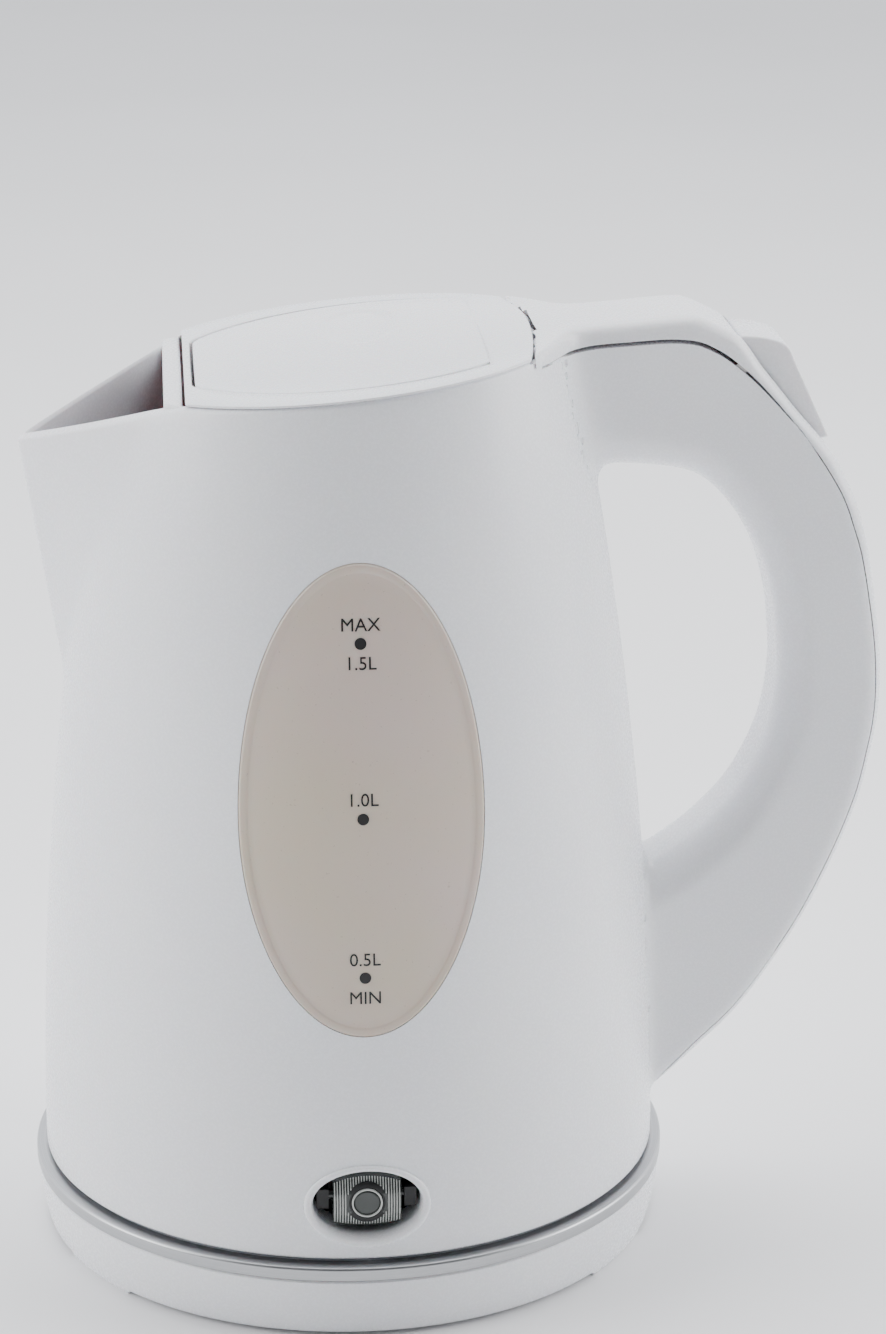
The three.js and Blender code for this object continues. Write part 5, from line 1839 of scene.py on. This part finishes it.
@dataclass
class Underside:
    """The jug's foot: socket, cover, plate, and the screws of jug and base."""

    socket_inner: float = 21.05
    socket_outer: float = 26.05
    cover_inner: float = 26.65
    plate_radius: float = 67.85
    screw_circle: float = 60.0

    def build(self) -> None:
        """Builds and dresses the turned pieces and the screws."""
        shroud = 16.5
        socket = turned("socket", [(0, 15.2, 0), (shroud, 15.2, 0.1), (shroud, 4, 0.3), (shroud + 1.2, 4, 0.3),
                                   (shroud + 1.2, 15.2, 0.1), (self.socket_inner, 15.2, 0.3),
                                   (self.socket_inner, 0.2, 0.8), (self.socket_outer, 0.2, 0.8),
                                   (self.socket_outer, 17, 0.3), (0, 17, 0)], SEAT)
        finish_piece(socket, BLACK, "black_plastic", "socket", "socket_housing")
        r = self.plate_radius
        plate = turned("heater_plate", [(0, 32.8, 0), (r - 1.2, 32.8, 0.3), (r - 1.2, 30, 0.1), (r, 30, 0.1),
                                        (r, 34, 1.0), (0, 34, 0)], SEAT)
        finish_piece(plate, STEEL, "steel", "kettle", "heating_plate")
        ring = turned("heater_seal", [(r + 0.3, 30, 0.3), (r + 2.8, 30, 0.3), (r + 2.8, 35.2, 0.6),
                                      (r + 0.3, 35.2, 0.6)], SEAT)
        finish_piece(ring, SILICONE, "silicone", "kettle", "plate_seal")
        self.build_cover()
        self.build_screws("foot_screws", self.screw_circle, SEAT + 0.4, 11.0, "kettle", "bottom_screw")
        self.build_screws("base_screws", 52.0, 1.4, 9.0, "base", "base_screw")

    def build_cover(self) -> bpy.types.Object:
        """Builds the foot's cover with its pads and screw holes.

        Returns:
            The cover.
        """
        outer = float(FORM.radius(np.array(0.0))) - FORM.wall - 0.3
        cover = turned("foot_cover", [(self.cover_inner, 0.2, 0.4), (outer, 0.2, 0.4), (outer, 2.2, 0.2),
                                      (self.cover_inner, 2.2, 0.2)], SEAT)
        turn = np.arange(40) * math.pi / 20
        pads, holes = [], []
        for i in range(3):
            a, b = math.radians(30 + 120 * i), math.radians(90 + 120 * i)
            pad = np.column_stack([66 * math.cos(a) + 4 * np.cos(turn), 66 * math.sin(a) + 4 * np.sin(turn)])
            spot = self.screw_circle * np.array([math.cos(b), math.sin(b)])
            hole = spot + 3.2 * np.column_stack([np.cos(turn), np.sin(turn)])
            pads.append(prism(f"join_pad_{i}", pad, "z", -1.2, 0.6, SEAT))
            holes.append(prism(f"cut_hole_{i}", hole, "z", -2, 4, SEAT))
        carve(cover, pads, "UNION")
        carve(cover, holes)
        return finish_piece(cover, WHITE, "white_gloss", "kettle", "bottom_cover")

    def build_screws(
        self, name: str, circle: float, low: float, length: float, body: str, node: str,
    ) -> bpy.types.Object:
        """Grows three countersunk screws on a circle with Geometry Nodes.

        Args:
            name: the object's name.
            circle: radius of the circle of screws.
            low: height of the heads' faces above the table.
            length: length of a screw.
            body: CAD body.
            node: first part of the CAD nodes' names.

        Returns:
            The screws.
        """
        tree = bpy.data.node_groups.new(name, "GeometryNodeTree")
        tree.interface.new_socket("Geometry", in_out="OUTPUT", socket_type="NodeSocketGeometry")
        sizes = {"Circle": circle, "Head": 2.7, "Shank": 1.4, "Head height": 1.2, "Length": length, "Slot": 0.7}
        ids = {}
        for key in sizes:
            ids[key] = tree.interface.new_socket(key, in_out="INPUT", socket_type="NodeSocketFloat").identifier
        given = add(tree, "NodeGroupInput").outputs
        ring = add(tree, "GeometryNodeMeshCircle", Vertices=3, Radius=given["Circle"])
        turned_ring = add(tree, "GeometryNodeTransform", Geometry=ring.outputs[0], Rotation=(0, 0, math.pi / 2))
        head = add(tree, "GeometryNodeMeshCylinder", Vertices=32, Radius=given["Head"], Depth=given["Head height"])
        cone = add(tree, "GeometryNodeMeshCone", Vertices=32, Radius_Top=given["Shank"], Radius_Bottom=given["Head"],
                   Depth=given["Head height"])
        shank = add(tree, "GeometryNodeMeshCylinder", Vertices=32, Radius=given["Shank"], Depth=given["Length"])
        half_head = add(tree, "ShaderNodeMath", {"operation": "MULTIPLY"}, i0=given["Head height"], i1=0.5)
        half_long = add(tree, "ShaderNodeMath", {"operation": "MULTIPLY"}, i0=given["Length"], i1=0.5)
        head_at = add(tree, "ShaderNodeCombineXYZ", Z=half_head.outputs[0])
        cone_at = add(tree, "ShaderNodeCombineXYZ", Z=given["Head height"])
        shank_at = add(tree, "ShaderNodeCombineXYZ", Z=half_long.outputs[0])
        head_up = add(tree, "GeometryNodeTransform", Geometry=head.outputs["Mesh"], Translation=head_at.outputs[0])
        cone_up = add(tree, "GeometryNodeTransform", Geometry=cone.outputs["Mesh"], Translation=cone_at.outputs[0])
        shank_up = add(tree, "GeometryNodeTransform", Geometry=shank.outputs["Mesh"], Translation=shank_at.outputs[0])
        whole = add(tree, "GeometryNodeMeshBoolean", {"operation": "UNION"})
        for part in (head_up, cone_up, shank_up):
            tree.links.new(part.outputs[0], whole.inputs["Mesh"] if "Mesh" in whole.inputs else whole.inputs[1])
        long_ = add(tree, "ShaderNodeMath", {"operation": "MULTIPLY"}, i0=given["Head"], i1=1.25)
        deep = add(tree, "ShaderNodeMath", {"operation": "MULTIPLY"}, i0=given["Head height"], i1=1.2)
        bar_a = add(tree, "ShaderNodeCombineXYZ", X=long_.outputs[0], Y=given["Slot"], Z=deep.outputs[0])
        bar_b = add(tree, "ShaderNodeCombineXYZ", X=given["Slot"], Y=long_.outputs[0], Z=deep.outputs[0])
        cross_a = add(tree, "GeometryNodeMeshCube", Size=bar_a.outputs[0])
        cross_b = add(tree, "GeometryNodeMeshCube", Size=bar_b.outputs[0])
        cut = add(tree, "GeometryNodeMeshBoolean", {"operation": "DIFFERENCE"}, i0=whole.outputs[0])
        for part in (cross_a, cross_b):
            tree.links.new(part.outputs["Mesh"], cut.inputs[1])
        grown = add(tree, "GeometryNodeInstanceOnPoints", Points=turned_ring.outputs[0], Instance=cut.outputs[0])
        real = add(tree, "GeometryNodeRealizeInstances", Geometry=grown.outputs[0])
        dressed = add(tree, "GeometryNodeSetMaterial", Geometry=real.outputs[0], Material=STEEL.material())
        add(tree, "NodeGroupOutput", Geometry=dressed.outputs[0])
        screws = grow(name, tree, {ids[key]: value * MM for key, value in sizes.items()})
        screws.data.transform(Matrix.Translation((0, 0, low * MM)))
        return finish_piece(screws, STEEL, "steel", body, *(f"{node}_{i}" for i in (1, 2, 3)))


@dataclass
class SpoutFilter:
    """The wire filter behind the spout, in its moulded frame."""

    half: float = 25.0
    low: float = 126.0
    high: float = 172.0
    depth: tuple[float, float] = (2.95, 4.5)
    frame: float = 2.6
    pitch: float = 1.5
    wire: float = 0.4

    def bend(self, piece: bpy.types.Object) -> None:
        """Bends a flat piece onto the inside of the jug's wall.

        Args:
            piece: the object, flat: across in X, upward in Z, depth in Y.
        """
        work = bmesh.new()
        work.from_mesh(piece.data)
        for vert in work.verts:
            across, deep, z = (c / MM for c in vert.co)
            radius = float(FORM.radius(np.array(z))) - deep
            turn = across / radius
            vert.co = Vector((-radius * math.cos(turn), radius * math.sin(turn), z + SEAT)) * MM
        bmesh.ops.recalc_face_normals(work, faces=work.faces)
        work.to_mesh(piece.data)
        work.free()
        shade(piece)

    def build_frame(self) -> bpy.types.Object:
        """Builds the filter's frame.

        Returns:
            The frame.
        """
        loop = rounded([(-self.half, self.low, 4), (self.half, self.low, 4), (self.half, self.high, 4),
                        (-self.half, self.high, 4)], 8)
        fine = []
        for a, b in zip(loop, np.roll(loop, -1, axis=0)):
            steps = max(1, int(np.linalg.norm(b - a) / 2.5))
            fine += [a + (b - a) * s / steps for s in range(steps)]
        run = np.array(fine)
        away = normals_of(np.vstack([run[-1], run, run[0]]))[1:-1]
        middle = np.array([0, (self.low + self.high) / 2])
        if float((away * (run - middle)).sum()) < 0:
            away = -away
        near, far = self.depth
        section = rounded([(0, near, 0.3), (-self.frame, near, 0.3), (-self.frame, far, 0.5), (0, far, 0.5)], 3)
        rings = [[(x + dx * r, d, z + dz * r) for r, d in section] for (x, z), (dx, dz) in zip(run, away)]
        frame = swept("filter_frame", np.array(rings), True)
        self.bend(frame)
        return finish_piece(frame, GREY, "grey_plastic", "kettle", "spout_filter")

    def build_mesh(self) -> bpy.types.Object:
        """Grows the wires with Geometry Nodes: one set upright, one set level.

        Returns:
            The wires.
        """
        tree = bpy.data.node_groups.new("filter_wires", "GeometryNodeTree")
        tree.interface.new_socket("Geometry", in_out="OUTPUT", socket_type="NodeSocketGeometry")
        wide, tall = 2 * self.half - 3, self.high - self.low - 3
        sizes = {"Width": wide * MM, "Height": tall * MM, "Wire": self.wire * MM}
        ids = {
            key: tree.interface.new_socket(key, in_out="INPUT", socket_type="NodeSocketFloat").identifier
            for key in sizes
        }
        counts = {"Upright": int(wide / self.pitch), "Level": int(tall / self.pitch)}
        for key in counts:
            ids[key] = tree.interface.new_socket(key, in_out="INPUT", socket_type="NodeSocketInt").identifier
        given = add(tree, "NodeGroupInput").outputs
        sets = []
        for key, run, span in (("Upright", "Width", "Height"), ("Level", "Height", "Width")):
            half = add(tree, "ShaderNodeMath", {"operation": "MULTIPLY"}, i0=given[run], i1=0.5)
            back = add(tree, "ShaderNodeMath", {"operation": "MULTIPLY"}, i0=given[run], i1=-0.5)
            letter = "X" if key == "Upright" else "Z"
            start = add(tree, "ShaderNodeCombineXYZ", **{letter: back.outputs[0]})
            end = add(tree, "ShaderNodeCombineXYZ", **{letter: half.outputs[0]})
            line = add(tree, "GeometryNodeMeshLine", {"mode": "END_POINTS"}, Count=given[key],
                       Start_Location=start.outputs[0], Offset=end.outputs[0])
            other = "Z" if key == "Upright" else "X"
            size = add(tree, "ShaderNodeCombineXYZ", Y=given["Wire"], **{letter: given["Wire"], other: given[span]})
            bar = add(tree, "GeometryNodeMeshCube", Size=size.outputs[0])
            sets.append(add(tree, "GeometryNodeInstanceOnPoints", Points=line.outputs[0], Instance=bar.outputs[0]))
        both = add(tree, "GeometryNodeJoinGeometry")
        for made in sets:
            tree.links.new(made.outputs[0], both.inputs[0])
        real = add(tree, "GeometryNodeRealizeInstances", Geometry=both.outputs[0])
        dressed = add(tree, "GeometryNodeSetMaterial", Geometry=real.outputs[0], Material=STEEL.material())
        add(tree, "NodeGroupOutput", Geometry=dressed.outputs[0])
        values = {ids[key]: value for key, value in {**sizes, **counts}.items()}
        wires = grow("filter_wires", tree, values)
        work = bmesh.new()
        work.from_mesh(wires.data)
        bmesh.ops.subdivide_edges(work, edges=[e for e in work.edges if e.calc_length() > 5 * MM], cuts=12)
        for vert in work.verts:
            vert.co.y += (self.depth[0] + 0.8) * MM
            vert.co.z += (self.low + self.high) / 2 * MM
        work.to_mesh(wires.data)
        work.free()
        self.bend(wires)
        return finish_piece(wires, STEEL, "steel", "kettle")


@dataclass
class Studio:
    """Pale floor, soft lights and the camera."""

    camera_place: tuple[float, float, float] = (-41.9, -775.7, 385.6)
    camera_ahead: tuple[float, float, float] = (0.0797, 0.9490, -0.3052)
    lens: float = 92.94

    def build(self) -> None:
        """Adds the floor, the world, the lights and the camera."""
        half = 4.0
        floor = bpy.data.meshes.new("floor")
        corners = [(-half, -half, 0), (half, -half, 0), (half, half, 0), (-half, half, 0)]
        floor.from_pydata(corners, [], [(0, 1, 2, 3)])
        ground = bpy.data.objects.new("floor", floor)
        bpy.context.scene.collection.objects.link(ground)
        paint = Plastic("floor_paint_matt", "F4F4F5", "F1F1F2", 0.8, cloud=400)
        ground.data.materials.append(paint.material())
        ground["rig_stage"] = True
        world = bpy.data.worlds.new("studio")
        bpy.context.scene.world = world
        world.use_nodes = True
        tree = world.node_tree
        tree.nodes.clear()
        way = add(tree, "ShaderNodeTexCoord").outputs["Generated"]
        split = add(tree, "ShaderNodeSeparateXYZ", Vector=way)
        power = add(tree, "ShaderNodeMapRange", {"interpolation_type": "SMOOTHSTEP"}, Value=split.outputs["Y"],
                    From_Min=-0.6, From_Max=0.5, To_Min=0.12, To_Max=2.0)
        back = add(tree, "ShaderNodeBackground", Color=linear("F3F5FA"), Strength=power.outputs["Result"])
        add(tree, "ShaderNodeOutputWorld", Surface=back.outputs[0])
        self.lamp("left", (-1.3, -0.1, 0.75), (0, 0, 0.12), 1.0, 16.0)
        self.lamp("right", (1.4, -0.05, 0.7), (0, 0, 0.12), 1.0, 18.0)
        self.lamp("top", (0.1, 0.5, 1.7), (0, 0, 0.1), 1.4, 22.0)
        eye = bpy.data.cameras.new("camera")
        eye.lens = self.lens
        eye.sensor_width = 36
        eye.sensor_height = 36
        eye.sensor_fit = "VERTICAL"
        holder = bpy.data.objects.new("camera", eye)
        ahead = Vector(self.camera_ahead)
        turn = ahead.to_track_quat("-Z", "Y").to_matrix().to_4x4()
        holder.matrix_world = Matrix.Translation(Vector(self.camera_place) * MM) @ turn
        bpy.context.scene.collection.objects.link(holder)
        bpy.context.scene.camera = holder

    def lamp(self, name: str, place: Sequence[float], aim: Sequence[float], size: float, power: float) -> None:
        """Adds a soft square lamp.

        Args:
            name: its name.
            place: where it hangs, in metres.
            aim: what it faces.
            size: its side, in metres.
            power: its watts.
        """
        light = bpy.data.lights.new(name, "AREA")
        light.size = size
        light.energy = power
        holder = bpy.data.objects.new(name, light)
        ahead = Vector(aim) - Vector(place)
        holder.matrix_world = Matrix.Translation(Vector(place)) @ ahead.to_track_quat("-Z", "Y").to_matrix().to_4x4()
        bpy.context.scene.collection.objects.link(holder)


def dress_carried(frame: dict[str, Any], replaced: set[str]) -> None:
    """Gives every CAD node that still shows its slot's finish.

    Args:
        replaced: nodes that other pieces stand for.
    """
    slots = {row["node"]: row["material_slot"] for row in frame["record"]["subparts"]}
    for name, node in frame["nodes"].items():
        if name in replaced:
            continue
        finish = SLOT_FINISH.get(slots.get(name, ""), GREY)
        if not node.data.materials:
            node.data.materials.append(finish.material())
        for slot in node.material_slots:
            slot.material = finish.material()


def main() -> None:
    """Builds the kettle piece by piece."""
    logging.basicConfig(level=logging.INFO, format="%(message)s")
    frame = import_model()
    cad_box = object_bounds()
    Studio().build()
    jug = JugShell()
    jug.build()
    jug.build_shelf()
    window = WaterWindow()
    window.build()
    window.build_marks()
    lid = Lid()
    lid.build()
    lid.build_tray()
    lid.build_seal()
    lid.build_knuckles()
    collar = TopFrame()
    collar.build()
    collar.build_arms()
    spout_filter = SpoutFilter()
    spout_filter.build_frame()
    spout_filter.build_mesh()
    handle = Handle()
    handle.build_shell()
    handle.build_cover()
    handle.build_lever()
    switch = RockerSwitch()
    switch.build_bezel()
    switch.build_rocker()
    switch.build_ribs()
    switch.build_lens()
    PowerBase().build()
    Underside().build()
    replaced = set()
    for piece in bpy.data.objects:
        for node in piece.get("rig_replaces", []) or []:
            replaced.add(node)
    dress_carried(frame, replaced)
    sizes = {"cad": [list(map(float, corner)) for corner in cad_box],
             "visual": [list(map(float, corner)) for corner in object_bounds()]}


if __name__ == "__main__":
    main()
